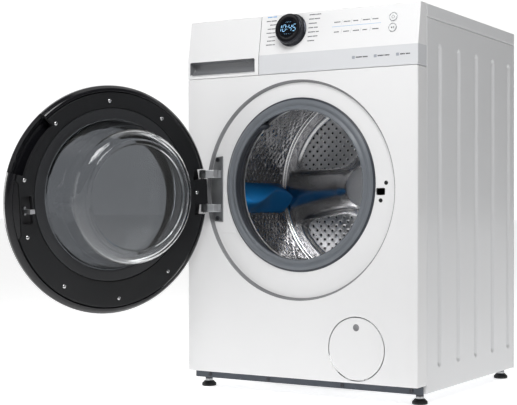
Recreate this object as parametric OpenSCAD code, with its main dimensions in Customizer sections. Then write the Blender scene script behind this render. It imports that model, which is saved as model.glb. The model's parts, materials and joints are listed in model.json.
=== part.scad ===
// Free-standing front load washing machine, built from its separate pieces.
// X runs to the right, Y runs from the front of the machine to its rear and Z runs up.
// The origin is at floor level, at the centre of the four feet.
// A "depth" is a distance behind the front panel's face. It becomes a Y with front_y + depth.

/* [Cabinet] */
// Width over the side panels
body_w = 595; // [585:1:605]
// Height from the floor to the top of the worktop
body_h = 850; // [845:1:860]
// Depth from the front panel's face to the rear panel's outer face
body_d = 540; // [535:1:560]
// Thickness of the sheet steel
sheet = 1.5; // [1.0:0.1:1.8]
// Height of the worktop
worktop_h = 28.5; // [24:0.5:29]
// Depth of the stiffening grooves pressed into each side panel
groove_depth = 5; // [3:0.5:6]

/* [Control panel] */
// How far the top of the control panel leans back
panel_lean = 14; // [8:1:18]
// Radius of the programme knob's grip
knob_r = 33.5; // [30:0.5:34]
// How far the programme knob stands out
knob_h = 20; // [16:1:24]
// How far a key can be pressed
key_travel = 1.2; // [0.8:0.1:1.5]

/* [Door] */
// How far the door stands open
door_open = 109; // [0:1:120]
// Depth of the glass bowl behind the front panel's face
bowl_depth = 85; // [78:1:90]

/* [Drum] */
// Outer radius of the drum
drum_r = 240; // [232:1:241]
// Wall thickness of the drum
drum_wall = 1.2; // [0.8:0.1:1.5]

/* [Feet] */
// Radius of each foot's pad
foot_r = 17; // [15:0.5:18]
// Radius of each foot's threaded stud
stud_r = 5; // [4:0.5:6]

/* [Hidden] */

$fn = 96;

// Main planes
half_w = body_w / 2;
front_y = -280;
return_d = 42;
front_z0 = 41;
front_z1 = 716;
side_z0 = 23;
worktop_z = body_h - worktop_h;
seam = 0.5;
soft_gap = 0.3;
fit_gap = 0.05;

// Round front
door_z = 457;
drum_z = 469;
dish_r = 243;
dish_depth = 9;
mouth_r = 188;

// Control panel
fascia_t = 2.5;
break_z = 760;
lean_angle = atan(panel_lean / (body_h - break_z));
drawer_edge_x = -100;
drawer_front_d = 24;
knob_x = -16;
knob_z = 811;
hub_r = 22;
key_r = 9.5;
key_x = 235;
power_z = 821;
start_z = 798;
touch_x = 147.5;
touch_z = 810;

// Drawer
tray_x0 = -281;
tray_x1 = -116;
tray_z0 = 738;
tray_z1 = 797;
tray_d1 = 236;

// Door, drawn closed about the hinge pin and then turned open.
// The pin leans a little to the left and to the front, so the open door hangs slightly low.
pin_x = -242;
pin_d = -16;
pin_slope_x = -0.021;
pin_slope_d = -0.068;
pin_lean = atan(norm([pin_slope_x, pin_slope_d]));
pin_r = 4;
arm_h = 18;
arm_offset = 39;
rim_r = 246;
ring_r = 231;
collar_r = 185;
bowl_r = 160;
screw_ring_r = 213;
door_screw_angles = [90, 127, 53, 16, -16, -53, -90, -127];
grip_angle = 34.5;
grip_half_angle = 16.5;
grip_r = 212;
hook_x = 205;
hook_z = 452.5;
hook_pin_d = -6;

// Service flap and pump
flap_x = 150;
flap_z = 115;
flap_r = 68;
flap_gap = 1.5;
flap_pin_z = 50;
flap_pin_d = 1.5;
flap_barrel_x = 19;
flap_ear_r = 1.75;
press_z = 161;

// Tub and drum, as depths
tub_r = 256;
tub_wall = 4;
tub_d0 = 45;
tub_split = 180;
tub_d1 = 365;
drum_d0 = 57;
drum_d1 = 345;
lifter_angles = [186, 66, -54];
shaft_r = 17.5;
shaft_rear_r = 15;
pulley_r = 139.5;
pulley_d = 452;
belt_w = 12;

// Motor
motor_x = -75;
motor_z = 120;
motor_r = 60;
motor_pulley_r = 11;

// Feet
foot_x = 276;
foot_y = 227;

// Springs
spring_x = 262;
spring_d = 300;
spring_r = 13;
wire_r = 2;
spring_z0 = 652;
spring_z1 = 772;
spring_turns = 10;

// ---------- helpers ----------

// A box between two depths
module block(x0, x1, d0, d1, z0, z1)
    translate([x0, front_y + d0, z0])
        cube([x1 - x0, d1 - d0, z1 - z0]);

// A cylinder along Y between two depths
module y_rod(x, z, r, d0, d1)
    translate([x, front_y + d1, z])
        rotate([90, 0, 0])
            cylinder(r = r, h = d1 - d0);

// A tube along Y between two depths
module y_ring(x, z, r_out, r_in, d0, d1)
    difference() {
        y_rod(x, z, r_out, d0, d1);
        y_rod(x, z, r_in, d0 - 1, d1 + 1);
    }

// A profile of [radius, depth] points turned about an axis along Y
module y_turned(x, z, profile)
    translate([x, front_y, z])
        rotate([-90, 0, 0])
            rotate_extrude($fn = 180)
                polygon(profile);

// An outline of [depth, height] points drawn out along X
module x_prism(x0, x1, outline)
    translate([x0, front_y, 0])
        rotate([90, 0, 90])
            linear_extrude(x1 - x0)
                polygon(outline);

// A straight rod between two points
module rod(a, b, r) {
    v = b - a;
    len = norm(v);
    translate(a)
        rotate([0, acos(v[2] / len), atan2(v[1], v[0])])
            cylinder(r = r, h = len);
}

// A bent pipe: straight rods with a slightly larger ball at each bend
module pipe(points, r) {
    for (i = [0 : len(points) - 2])
        rod(points[i], points[i + 1], r);
    for (i = [1 : len(points) - 2])
        translate(points[i])
            sphere(r = r + 0.8, $fn = 48);
}

// A point from x, depth and height
function at(x, d, z) = [x, front_y + d, z];

// Depth of the control panel's leaning face at a height
function face_depth(z) = (z - break_z) * tan(lean_angle);

// Puts its children on the leaning face of the control panel, with their +Z pointing out of it
module on_panel(x, z)
    translate([x, front_y + face_depth(z), z])
        rotate([90 - lean_angle, 0, 0])
            children();

// Turns the closed door about its hinge pin
module door_place(angle = door_open)
    translate([pin_x, front_y + pin_d, door_z])
        rotate(a = -angle, v = [pin_slope_x, pin_slope_d, 1])
            translate([-pin_x, -front_y - pin_d, -door_z])
                children();

// A rod on the hinge pin's line, centred at the door's height
module pin_rod(r, h)
    translate([pin_x, front_y + pin_d, door_z])
        rotate(a = pin_lean, v = [-pin_slope_d, pin_slope_x, 0])
            cylinder(r = r, h = h, center = true);

// A screw head with a cross recess; it stands on the XY plane and points up
module screw_head(r = 4.5, h = 2.4)
    difference() {
        cylinder(r = r, h = h, $fn = 48);
        for (a = [0, 90])
            rotate([0, 0, a])
                translate([-0.5 * r, -0.12 * r, 0.45 * h])
                    cube([r, 0.24 * r, h]);
    }

// ---------- cabinet ----------

// Outline of the pressed dish that the door closes into
function dish_profile() = [
    [dish_r + 1, 0], [dish_r - 0.5, 0.9], [dish_r - 2, 3], [dish_r - 3.5, dish_depth - 0.8],
    [dish_r - 5, dish_depth], [dish_r - 6, dish_depth], [dish_r - 6, dish_depth + sheet],
    [dish_r - 4.4, dish_depth + sheet], [dish_r - 2, dish_depth], [dish_r + 1, sheet]
];

// Round-topped ear in the flap's hole that carries one end of its hinge pin
module flap_ear(x0)
    difference() {
        union() {
            flap_rod(flap_x + x0, 3, flap_ear_r);
            block(flap_x + x0, flap_x + x0 + 3, 0.2, flap_pin_d + flap_ear_r, 44.5, flap_pin_z);
        }
        block(flap_x - 30, flap_x + 30, -1, 0.1, 40, 60);
    }

// A rod along the flap's hinge line
module flap_rod(x, length, r)
    translate([x, front_y + flap_pin_d, flap_pin_z])
        rotate([0, 90, 0])
            cylinder(r = r, h = length, $fn = 48);

module front_panel()
    color("white")
    difference() {
        union() {
            front_sheet();
            // collar that the door seal grips
            y_ring(0, drum_z, mouth_r + sheet, mouth_r, dish_depth + sheet, dish_depth + 9);
            flap_ear(-flap_barrel_x - 4);
            flap_ear(flap_barrel_x + 1);
        }
        flap_rod(flap_x - 25, 50, 1 + fit_gap);
    }

module front_sheet()
    difference() {
        union() {
            difference() {
                block(-half_w, half_w, 0, return_d, front_z0, front_z1);
                block(-half_w + sheet, half_w - sheet, sheet, return_d + 1,
                    front_z0 + sheet, front_z1 - sheet);
                y_rod(0, door_z, dish_r + 1, -1, sheet + 1);
            }
            y_turned(0, door_z, dish_profile());
        }
        y_rod(flap_x, flap_z, flap_r + flap_gap, -1, sheet + 0.01);
    }

// Flat ring round the drum's mouth, with the slot and screw holes for the door lock
module mouth_plate()
    color("white")
    difference() {
        y_rod(0, door_z, dish_r - 6 - fit_gap, dish_depth, dish_depth + sheet);
        y_rod(0, drum_z, mouth_r, -1, return_d);
        block(194.5, 215.5, -1, return_d, 445, 460);
        y_rod(218, 471, 3, -1, return_d);
        y_rod(205, 433.5, 3, -1, return_d);
    }

// One upright groove, as a bar with round ends
module groove_bar(width, x0, x1, d)
    translate([x0, front_y + d, 73 + width / 2])
        rotate([90, 0, 90])
            linear_extrude(x1 - x0) {
                translate([-width / 2, 0])
                    square([width, 699 - width]);
                circle(d = width);
                translate([0, 699 - width])
                    circle(d = width);
            }

// The right side panel: a sheet with folded edges and five pressed grooves
module side_panel() {
    flange = 10;
    groove_w = 24;
    groove_d = [for (i = [0 : 4]) 106 + 99 * i];
    difference() {
        union() {
            difference() {
                block(half_w - flange, half_w, return_d + seam, body_d - sheet,
                    side_z0, worktop_z - seam);
                block(half_w - flange - 1, half_w - sheet, return_d + seam + sheet,
                    body_d - 2 * sheet, side_z0 + sheet, worktop_z - seam - sheet);
            }
            for (d = groove_d)
                groove_bar(groove_w + 2 * sheet, half_w - groove_depth - sheet, half_w - 1, d);
        }
        for (d = groove_d)
            groove_bar(groove_w, half_w - groove_depth, half_w + 1, d);
    }
}

module right_side_panel()
    color("gainsboro")
    side_panel();

module left_side_panel()
    color("gainsboro")
    mirror([1, 0, 0])
        side_panel();

module rear_panel()
    color("lightgray")
    difference() {
        block(-half_w, half_w, body_d - sheet, body_d, side_z0, worktop_z - seam);
        y_rod(0, drum_z, 155, body_d - 5, body_d + 5);
        for (x = [-150, 150], z = [250, 688])
            y_rod(x, z, 12.3, body_d - 5, body_d + 5);
        y_rod(-230, 775, 15.5, body_d - 5, body_d + 5);
        y_rod(235, 700, 11.3, body_d - 5, body_d + 5);
        y_rod(230, 770, 9.3, body_d - 5, body_d + 5);
    }

// Round cover over the drum pulley, with a pressed step
module rear_access_cover()
    color("silver")
    y_turned(0, drum_z, [
        [0, body_d + 3], [140, body_d + 3], [144, body_d], [166, body_d],
        [166, body_d + sheet], [145, body_d + sheet], [141, body_d + 3 + sheet],
        [0, body_d + 3 + sheet]
    ]);

module worktop()
    color("white")
    x_prism(-half_w, half_w, [
        [return_d + seam, worktop_z], [body_d + 2, worktop_z], [body_d + 4, worktop_z + 2],
        [body_d + 4, body_h - 2], [body_d + 2, body_h], [return_d + seam, body_h]
    ]);

// Outline of the control panel's outer skin, from its bottom edge to its rear top edge
function panel_outer() = [
    [return_d, front_z1 + seam], [1, front_z1 + seam], [0, front_z1 + seam + 1], [0, break_z],
    [face_depth(body_h - 4), body_h - 4], [panel_lean + 1, body_h - 1], [panel_lean + 4, body_h],
    [return_d, body_h]
];
function panel_inner() = [
    [return_d + 1, front_z1 + seam + fascia_t], [fascia_t, front_z1 + seam + fascia_t],
    [fascia_t, break_z], [face_depth(body_h - fascia_t) + fascia_t, body_h - fascia_t],
    [return_d + 1, body_h - fascia_t]
];

module control_fascia()
    color("white")
    difference() {
        union() {
            // right part, with the knob and keys
            difference() {
                x_prism(drawer_edge_x, half_w, panel_outer());
                x_prism(drawer_edge_x + fascia_t, half_w - fascia_t, panel_inner());
            }
            // recessed left part behind the drawer front
            difference() {
                block(-half_w, drawer_edge_x, drawer_front_d + seam, return_d,
                    front_z1 + seam, body_h);
                block(-half_w + fascia_t, drawer_edge_x + 1, drawer_front_d + seam + fascia_t,
                    return_d + 1, front_z1 + seam + fascia_t, body_h - fascia_t);
                block(tray_x0 - 2, tray_x1 + 2, drawer_front_d, return_d, tray_z0 - 4, tray_z1 + 3);
            }
            on_panel(knob_x, knob_z)
                translate([0, 0, -12])
                    cylinder(r = hub_r + 3, h = 12);
        }
        on_panel(knob_x, knob_z)
            translate([0, 0, -20])
                cylinder(r = hub_r - 2, h = 21);
        for (z = [power_z, start_z])
            on_panel(key_x, z)
                translate([0, 0, -6])
                    cylinder(r = key_r + soft_gap, h = 9);
        on_panel(touch_x, touch_z)
            translate([-59, -20, -1])
                cube([118, 40, 3]);
    }

// Fixed smoked display in the middle of the knob
module display_window()
    color("black")
    on_panel(knob_x, knob_z) {
        translate([0, 0, -9])
            cylinder(r = hub_r - 2, h = 9);
        cylinder(r = hub_r, h = knob_h - 0.6);
    }

module touch_key_strip()
    color("whitesmoke")
    on_panel(touch_x, touch_z)
        translate([-59, -20, -1])
            cube([118, 40, 1]);

// Circuit board behind the panel, on four posts
module control_board()
    color("green")
    on_panel(120, 805) {
        translate([-165, -34, -20])
            cube([325, 68, 1.6]);
        for (x = [-157, 150], y = [-28, 28])
            translate([x, y, -18.4])
                cylinder(r = 3.5, h = 18.3 - fascia_t, $fn = 32);
        translate([-40, -30, -34])
            cube([90, 50, 14]);
    }

module program_knob()
    color("black")
    on_panel(knob_x, knob_z)
        translate([0, 0, 0.4])
            rotate_extrude($fn = 180)
                polygon([
                    [hub_r + fit_gap, 0], [37, 0], [37, 2.4], [35.6, 3.6], [knob_r + 0.6, 4],
                    [knob_r, knob_h - 2.5], [knob_r - 1.5, knob_h - 0.6],
                    [knob_r - 3, knob_h - 0.4], [hub_r + fit_gap, knob_h - 0.4]
                ]);

// Round key with a stem that reaches back to its switch
module round_key(z)
    on_panel(key_x, z)
        rotate_extrude()
            polygon([
                [0, -15], [3, -15], [3, -4.5], [key_r, -4.5], [key_r, 1.2],
                [key_r - 0.8, 2], [key_r - 3, 1.6], [0, 1.3]
            ]);

module power_key()
    color("silver")
    round_key(power_z);

module start_key()
    color("silver")
    round_key(start_z);

// ---------- detergent drawer ----------

module drawer_front()
    color("white")
    difference() {
        intersection() {
            x_prism(-half_w, drawer_edge_x - 0.8, panel_outer());
            block(-half_w, drawer_edge_x, 0, drawer_front_d, front_z1, body_h);
        }
        // finger recess
        x_prism(-291, -111, [
            [-1, 722], [-1, 755], [13, 755], [18, 750], [19, 742], [16, 733], [9, 725], [1, 722]
        ]);
        // hollow behind the upper face
        x_prism(-half_w + 3, drawer_edge_x - 4, [
            [5, break_z + 1], [drawer_front_d + 1, break_z + 1], [drawer_front_d + 1, body_h - 3],
            [panel_lean + 4, body_h - 3]
        ]);
    }

// Tray with three compartments, joined to the back of the drawer front
module drawer_tray()
    color("whitesmoke")
    difference() {
        block(tray_x0, tray_x1, drawer_front_d, tray_d1, tray_z0, tray_z1);
        block(tray_x0 + 2.5, -229, drawer_front_d + 8, tray_d1 - 2.5, tray_z0 + 2.5, tray_z1 + 1);
        block(-226.5, -172, drawer_front_d + 8, tray_d1 - 2.5, tray_z0 + 2.5, tray_z1 + 1);
        block(-169.5, tray_x1 - 2.5, drawer_front_d + 8, tray_d1 - 2.5, tray_z0 + 2.5, tray_z1 + 1);
    }

// Siphon cap of the softener compartment
module softener_cap()
    color("steelblue")
    difference() {
        union() {
            block(-226, -172.5, 170, tray_d1 - 3, tray_z1 - 8, tray_z1 - 4);
            translate(at(-199, 200, tray_z0 + 2.5))
                cylinder(r = 7, h = tray_z1 - tray_z0 - 10, $fn = 48);
        }
        translate(at(-199, 200, tray_z0 + 1))
            cylinder(r = 4.5, h = 46, $fn = 48);
    }

module drawer_housing()
    color("silver")
    difference() {
        block(tray_x0 - 4.5, -106, 29, 272, 728, 813);
        block(tray_x0 - 1.5, -109, 28, 269, 731, 810);
        translate(at(-200, 255, 720))
            cylinder(r = 12, h = 20, $fn = 64);
    }

// ---------- lower front ----------

module plinth_bar()
    color("darkslategray")
    difference() {
        block(-half_w + 1.5, half_w - 1.5, 28, 31, side_z0, front_z0 - 1);
        for (x = [-254, -93, 100, 268])
            y_rod(x, 30.5, 2.6, 27, 32);
    }

// Round cover over the filter; the barrel along its bottom edge holds the hinge pin
module service_flap()
    color("white")
    difference() {
        union() {
            difference() {
                y_turned(flap_x, flap_z, [
                    [0, 0], [flap_r - 0.8, 0], [flap_r, 0.8], [flap_r, 3], [0, 3]
                ]);
                block(0, 250, -1, 5, 0, flap_pin_z);
                for (side = [-1, 1])
                    block(flap_x + side * 22.5 - 3.5, flap_x + side * 22.5 + 3.5, -1, 5, 40,
                        flap_pin_z + flap_ear_r + 0.35);
            }
            flap_rod(flap_x - flap_barrel_x, 2 * flap_barrel_x, flap_pin_d);
            flap_rod(flap_x - flap_barrel_x - 4, 2 * flap_barrel_x + 8, 1);
        }
        translate([flap_x, front_y - 27, press_z])
            sphere(r = 28.2);
    }

// Turning filter cap with its lint screen
module pump_filter()
    color("gainsboro")
    difference() {
        union() {
            y_rod(flap_x, flap_z, 33, 21, 25);
            block(flap_x - 27, flap_x + 27, 12, 21, flap_z - 4, flap_z + 4);
            y_rod(flap_x, flap_z, 26, 25, 92);
        }
        y_rod(flap_x, flap_z, 22, 45, 93);
        for (a = [0 : 45 : 135])
            translate([flap_x, front_y, flap_z])
                rotate([0, a, 0])
                    translate([-40, 52, -4])
                        cube([80, 34, 8]);
    }

module drain_pump()
    color("dimgray")
    difference() {
        union() {
            y_rod(flap_x, flap_z, 32, 30, 108);
            y_rod(flap_x, flap_z, 36, 26, 30);
            y_rod(flap_x, flap_z, 36, 108, 134);
            y_rod(flap_x, flap_z, 29, 134, 190);
            block(flap_x - 24, flap_x + 24, 60, 84, 41, flap_z - 20);
            translate(at(flap_x, 70, flap_z + 20))
                cylinder(r = 13, h = 14);
            rod(at(flap_x + 20, 121, flap_z), at(flap_x + 58, 121, flap_z), 10);
        }
        y_rod(flap_x, flap_z, 26 + soft_gap, 25, 98);
        y_rod(flap_x, flap_z, 24, 97, 128);
        y_rod(flap_x, flap_z, 3 + fit_gap, 127, 150);
        translate(at(flap_x, 70, flap_z))
            cylinder(r = 10, h = 60);
        rod(at(flap_x, 121, flap_z), at(flap_x + 60, 121, flap_z), 7);
    }

module pump_impeller()
    color("black") {
        y_rod(flap_x, flap_z, 3, 112, 149);
        y_rod(flap_x, flap_z, 8, 110, 126);
        for (a = [0 : 60 : 300])
            translate([flap_x, front_y, flap_z])
                rotate([0, a, 0])
                    translate([7, 111, -1])
                        cube([14, 14, 2]);
    }

// Pressed floor pan with a boss for each foot
module base_frame()
    color("lightgray")
    difference() {
        union() {
            block(-half_w + 2.2, half_w - 2.2, return_d + 2.5, body_d - 2 * sheet - 0.5, 34, 40);
            block(-half_w + 11, half_w - 11, 31.2, return_d + 3, 34, 40);
            for (x = [-foot_x, foot_x], y = [-foot_y, foot_y])
                translate([x, y, side_z0])
                    cylinder(r = 11, h = 17);
            for (x = [-200, 200])
                block(x - 12, x + 12, 190, 214, 39, 54);
        }
        for (x = [-foot_x, foot_x], y = [-foot_y, foot_y])
            translate([x, y, 0])
                cylinder(r = stud_r + fit_gap, h = 60);
        block(-180, 90, 150, 500, 30, 41);
    }

// A levelling foot: a rubber-soled pad on a threaded stud
module levelling_foot(x, y)
    color("black")
    translate([x, y, 0])
        rotate_extrude()
            polygon([
                [0, 0], [foot_r, 0], [foot_r, 7], [foot_r - 3, 9],
                [9, 12], [stud_r, 12], [stud_r, 58], [0, 58]
            ]);

module foot_front_left() levelling_foot(-foot_x, -foot_y);
module foot_front_right() levelling_foot(foot_x, -foot_y);
module foot_rear_left() levelling_foot(-foot_x, foot_y);
module foot_rear_right() levelling_foot(foot_x, foot_y);

// ---------- tub and its suspension ----------

module top_braces()
    color("silver")
    for (d = [spring_d, 450])
        difference() {
            block(-half_w + 14.5, half_w - 14.5, d - 16, d + 16, 796, worktop_z - seam - 1.5);
            block(-half_w + 10, half_w - 10, d - 14.5, d + 14.5, 795, 817);
            block(-half_w + 10, -half_w + 16, d - 20, d + 20, 795, 830);
            block(half_w - 16, half_w - 10, d - 20, d + 20, 795, 830);
        }

// Corrugated door seal between the front panel and the tub
module bellows()
    color("gray")
    y_turned(0, drum_z, [
        [165, 4], [168, 1.8], [176, 1], [186, 2.5], [192.5, 6], [193, dish_depth],
        [mouth_r, dish_depth], [mouth_r - 0.4, dish_depth + 12], [181, dish_depth + 17],
        [181, 30], [182, 38], [182, 50], [179, 52], [177, 50], [176, 38], [171, 33],
        [171, 27], [176, 22], [176, 14], [170, 10.5], [165.5, 8]
    ]);

module tub_front()
    color("lightgray")
    y_turned(0, drum_z, [
        [182, 34], [186, 34], [186, tub_d0], [252, tub_d0], [tub_r, tub_d0 + 4], [tub_r, 171],
        [265, 171], [265, tub_split], [252, tub_split], [252, 52], [182, 52]
    ]);

module tub_rear()
    color("lightgray")
    difference() {
        union() {
            y_rod(0, drum_z, tub_r, tub_split + 0.3, tub_d1 + tub_wall);
            y_rod(0, drum_z, 265, tub_split + 0.3, tub_split + 9);
            y_rod(0, drum_z, 56, tub_d1, 432);
            for (a = [0 : 30 : 330])
                translate([0, front_y, drum_z])
                    rotate([0, a, 0])
                        translate([50, tub_d1, -2])
                            cube([195, 18, 4]);
            // sump, spring ears, damper lugs and motor lugs
            block(-90, 90, 195, tub_d1, 186, 260);
            translate(at(-200, 255, 600))
                cylinder(r = 14, h = 50);
            for (side = [-1, 1]) {
                block(side * 236 - 34, side * 236 + 34, 293, 307, 606, 622);
                block(side * 150 - 10, side * 150 + 10, 190, 214, 248, 290);
            }
            block(-150, -137, 320, 350, 105, 270);
            block(-13, 0, 320, 350, 105, 190);
        }
        y_rod(0, drum_z, 252, tub_split - 1, tub_d1);
        block(-86, 86, 199, tub_d1, 190, 300);
        y_rod(0, drum_z, 26, 300, 440);
        y_rod(0, drum_z, 36, 300, 391);
        y_rod(0, drum_z, 31, 412, 440);
        translate(at(60, 215, 180))
            cylinder(r = 14, h = 20);
        for (side = [-1, 1])
            translate(at(side * spring_x, 300, 600))
                cylinder(r = 4, h = 30);
    }

module drum_bearings()
    color("silver") {
        y_ring(0, drum_z, 36, shaft_r + fit_gap, 372, 391);
        y_ring(0, drum_z, 31, shaft_rear_r + fit_gap, 412, 428);
    }

module counterweights()
    color("darkgray") {
        for (side = [-1, 1])
            intersection() {
                y_ring(0, drum_z, 250, 198, 20, 44);
                block(-230, 230, 19, 45, drum_z + side * 180 - 60, drum_z + side * 180 + 60);
            }
        difference() {
            block(-95, 150, 205, 282, 690, 782);
            y_rod(0, drum_z, tub_r + 0.2, 200, 290);
        }
    }

// The spring's wire as rings of [distance from the spring's axis, angle, height, tilt]
spring_steps = 12;
spring_rise = (spring_z1 - spring_z0) / (spring_steps * spring_turns);
spring_tilt = atan(spring_rise * spring_steps / (2 * PI * spring_r));
spring_path = concat(
    [[0, 0, 604, 90], [0, 0, spring_z0 - 12, 90], [spring_r / 2, 0, spring_z0 - 5, 60]],
    [for (i = [0 : spring_steps * spring_turns])
        [spring_r, 360 * i / spring_steps, spring_z0 + spring_rise * i, spring_tilt]],
    [[spring_r / 2, 0, spring_z1 + 5, 60], [0, 0, spring_z1 + 12, 90], [0, 0, worktop_z - 4.5, 90]]
);

// A round wire swept along that path
module spring(x) {
    sides = 6;
    count = len(spring_path);
    points = [
        for (ring = spring_path, s = [0 : sides - 1])
            let (b = 360 * s / sides, out = ring[0] + wire_r * cos(b), up = wire_r * sin(b))
            [
                out * cos(ring[1]) + up * sin(ring[3]) * sin(ring[1]),
                out * sin(ring[1]) - up * sin(ring[3]) * cos(ring[1]),
                ring[2] + up * cos(ring[3])
            ]
    ];
    walls = [
        for (i = [0 : count - 2], s = [0 : sides - 1])
            let (n = (s + 1) % sides)
            [i * sides + s, (i + 1) * sides + s, (i + 1) * sides + n, i * sides + n]
    ];
    first = [for (s = [0 : sides - 1]) s];
    last = [for (s = [sides - 1 : -1 : 0]) (count - 1) * sides + s];
    translate([x, front_y + spring_d, 0])
        polyhedron(points = points, faces = concat(walls, [first], [last]));
}

module suspension_springs()
    color("silver")
    for (side = [-1, 1])
        spring(side * spring_x);

module dampers()
    color("dimgray")
    for (side = [-1, 1]) {
        low = at(side * 200, 202, 58);
        high = at(side * 150, 202, 246);
        v = (high - low) / norm(high - low);
        rod(low, low + 110 * v, 13);
        rod(low + 100 * v, high, 5);
    }

// Two bent heating rods in the sump, on a flange at the rear
module heater()
    color("silver") {
        for (x = [-40, 40])
            rod(at(x, 230, 203), at(x, tub_d1 + 2, 203), 4);
        rod(at(-40, 230, 203), at(40, 230, 203), 4);
        for (x = [-40, 40])
            translate(at(x, 230, 203))
                sphere(r = 4, $fn = 32);
    }

module motor()
    color("dimgray") {
        difference() {
            union() {
                y_rod(motor_x, motor_z, motor_r, 300, 420);
                y_rod(motor_x, motor_z, 24, 420, 432);
                block(-137, -130, 325, 345, motor_z - 20, motor_z + 20);
                block(-20, -13, 325, 345, motor_z - 20, motor_z + 20);
            }
            y_rod(motor_x, motor_z, 6 + fit_gap, 380, 440);
        }
    }

module motor_pulley()
    color("silver") {
        y_rod(motor_x, motor_z, 6, 382, 450);
        y_rod(motor_x, motor_z, motor_pulley_r, pulley_d - 8, pulley_d + 8);
    }

module drive_belt()
    color("black")
    translate([0, front_y + pulley_d + belt_w / 2, 0])
        rotate([90, 0, 0])
            linear_extrude(belt_w)
                difference() {
                    hull() {
                        translate([0, drum_z])
                            circle(r = pulley_r + 4.4);
                        translate([motor_x, motor_z])
                            circle(r = motor_pulley_r + 4.4);
                    }
                    hull() {
                        translate([0, drum_z])
                            circle(r = pulley_r + 0.4);
                        translate([motor_x, motor_z])
                            circle(r = motor_pulley_r + 0.4);
                    }
                }

// Solenoid valve with a G 3/4 spigot for the water inlet
module inlet_valve()
    color("ivory")
    difference() {
        union() {
            y_rod(-230, 775, 13.2, 500, body_d + 14);
            block(-252, -208, 470, 512, 752, 800);
        }
        y_rod(-230, 775, 9, 505, body_d + 15);
    }

module hoses()
    color("black") {
        rod(at(-230, 470, 788), at(-230, 272, 788), 7);
        translate(at(-200, 255, 650))
            cylinder(r = 14, h = 78);
        pipe([
            at(60, 215, 186), at(60, 215, 171), at(flap_x, 150, 171), at(flap_x, 70, 171),
            at(flap_x, 70, flap_z + 34)
        ], 13);
        pipe([
            at(flap_x + 58, 121, flap_z), at(235, 121, flap_z), at(235, 500, flap_z),
            at(235, 500, 700), at(235, 528, 700)
        ], 9);
        y_rod(235, 700, 14, 526, 532);
        y_rod(235, 700, 10, 532, body_d + 16);
    }

module cable_gland()
    color("black")
    difference() {
        union() {
            y_rod(230, 770, 14, body_d, body_d + 5);
            y_rod(230, 770, 9, 522, body_d);
            block(206, 254, 500, 522, 750, 792);
        }
        y_rod(230, 770, 4.5, 515, body_d + 6);
    }

module transit_plugs()
    color("gray")
    for (x = [-150, 150], z = [250, 688]) {
        y_rod(x, z, 16, body_d, body_d + 2.5);
        y_rod(x, z, 12, 530, body_d);
    }

module fasteners()
    color("silver") {
        // door seal clamps
        y_ring(0, drum_z, mouth_r + sheet + 3, mouth_r + sheet, 12, 15);
        y_ring(0, drum_z, 188, 186, 37, 41);
        // plinth screws
        for (x = [-254, -93, 100, 268])
            translate(at(x, 28, 30.5))
                rotate([90, 0, 0])
                    screw_head(4.5, 2);
        // hinge plate screws
        for (side = [-1, 1])
            translate(at(-217, dish_depth - 3, door_z + 5 + side * 67))
                rotate([90, 0, 0])
                    screw_head(5, 2);
        // rear panel and cover screws
        for (x = [-285, 285], z = [60, 240, 440, 640, 790])
            translate(at(x, body_d, z))
                rotate([-90, 0, 0])
                    screw_head();
        for (a = [0 : 60 : 300])
            translate(at(160.5 * cos(a), body_d + sheet, drum_z + 160.5 * sin(a)))
                rotate([-90, 0, 0])
                    screw_head();
        // tub flange screws
        for (a = [15 : 30 : 345])
            translate(at(260.5 * cos(a), tub_split + 9, drum_z + 260.5 * sin(a)))
                rotate([-90, 0, 0])
                    screw_head(4, 5);
        // lock nuts of the feet
        for (x = [-foot_x, foot_x], y = [-foot_y, foot_y])
            translate([x, y, side_z0 - 7])
                difference() {
                    cylinder(r = 9.5, h = 7, $fn = 6);
                    translate([0, 0, -1])
                        cylinder(r = stud_r + fit_gap, h = 9);
                }
    }

// ---------- drum ----------

module drum_shell()
    color("silver")
    y_turned(0, drum_z, [
        [176.5, drum_d0], [180, drum_d0 - 1], [184, drum_d0 + 4], [228, drum_d0 + 6],
        [237, drum_d0 + 11], [drum_r, drum_d0 + 19], [drum_r, drum_d1],
        [drum_r - drum_wall, drum_d1], [drum_r - drum_wall, drum_d0 + 19.5],
        [236.2, drum_d0 + 12], [227.6, drum_d0 + 7.3], [183.2, drum_d0 + 5.3],
        [179.4, drum_d0 + 0.4], [177, drum_d0 + 1]
    ]);

module drum_back()
    color("silver") {
        y_turned(0, drum_z, [
            [0, drum_d1 - 40], [48, drum_d1 - 40], [54, drum_d1 - 36], [120, drum_d1 - 12],
            [200, drum_d1 - 2], [drum_r - drum_wall, drum_d1 - 1.2], [drum_r - drum_wall, drum_d1],
            [200, drum_d1 - 0.6], [120, drum_d1 - 10.6], [53.4, drum_d1 - 34.6], [0, drum_d1 - 34.6]
        ]);
    }

// Three hollow paddles inside the drum
module lifters()
    color("steelblue")
    for (a = lifter_angles)
        translate([0, front_y + 82, drum_z])
            rotate([-90, 0, 0])
                rotate([0, 0, -a])
                    linear_extrude(drum_d1 - 92)
                        difference() {
                            intersection() {
                                circle(r = drum_r - drum_wall);
                                polygon([
                                    [245, -38], [226, -33], [206, -17], [196, -6], [195, 0],
                                    [196, 6], [206, 17], [226, 33], [245, 38]
                                ]);
                            }
                            polygon([
                                [245, -33], [227, -29], [208, -14], [199, -5], [199, 5],
                                [208, 14], [227, 29], [245, 33]
                            ]);
                        }

// Three-armed spider with the drum shaft
module drum_spider()
    color("gray") {
        for (a = lifter_angles)
            translate([0, front_y + drum_d1, drum_z])
                rotate([-90, 0, 0])
                    rotate([0, 0, -a])
                        translate([20, -20, 0])
                            cube([214, 40, 14]);
        y_rod(0, drum_z, 42, drum_d1, tub_d1 - 2);
        y_rod(0, drum_z, shaft_r, drum_d1, 401);
        y_rod(0, drum_z, shaft_rear_r, 400, 474);
    }

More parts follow.
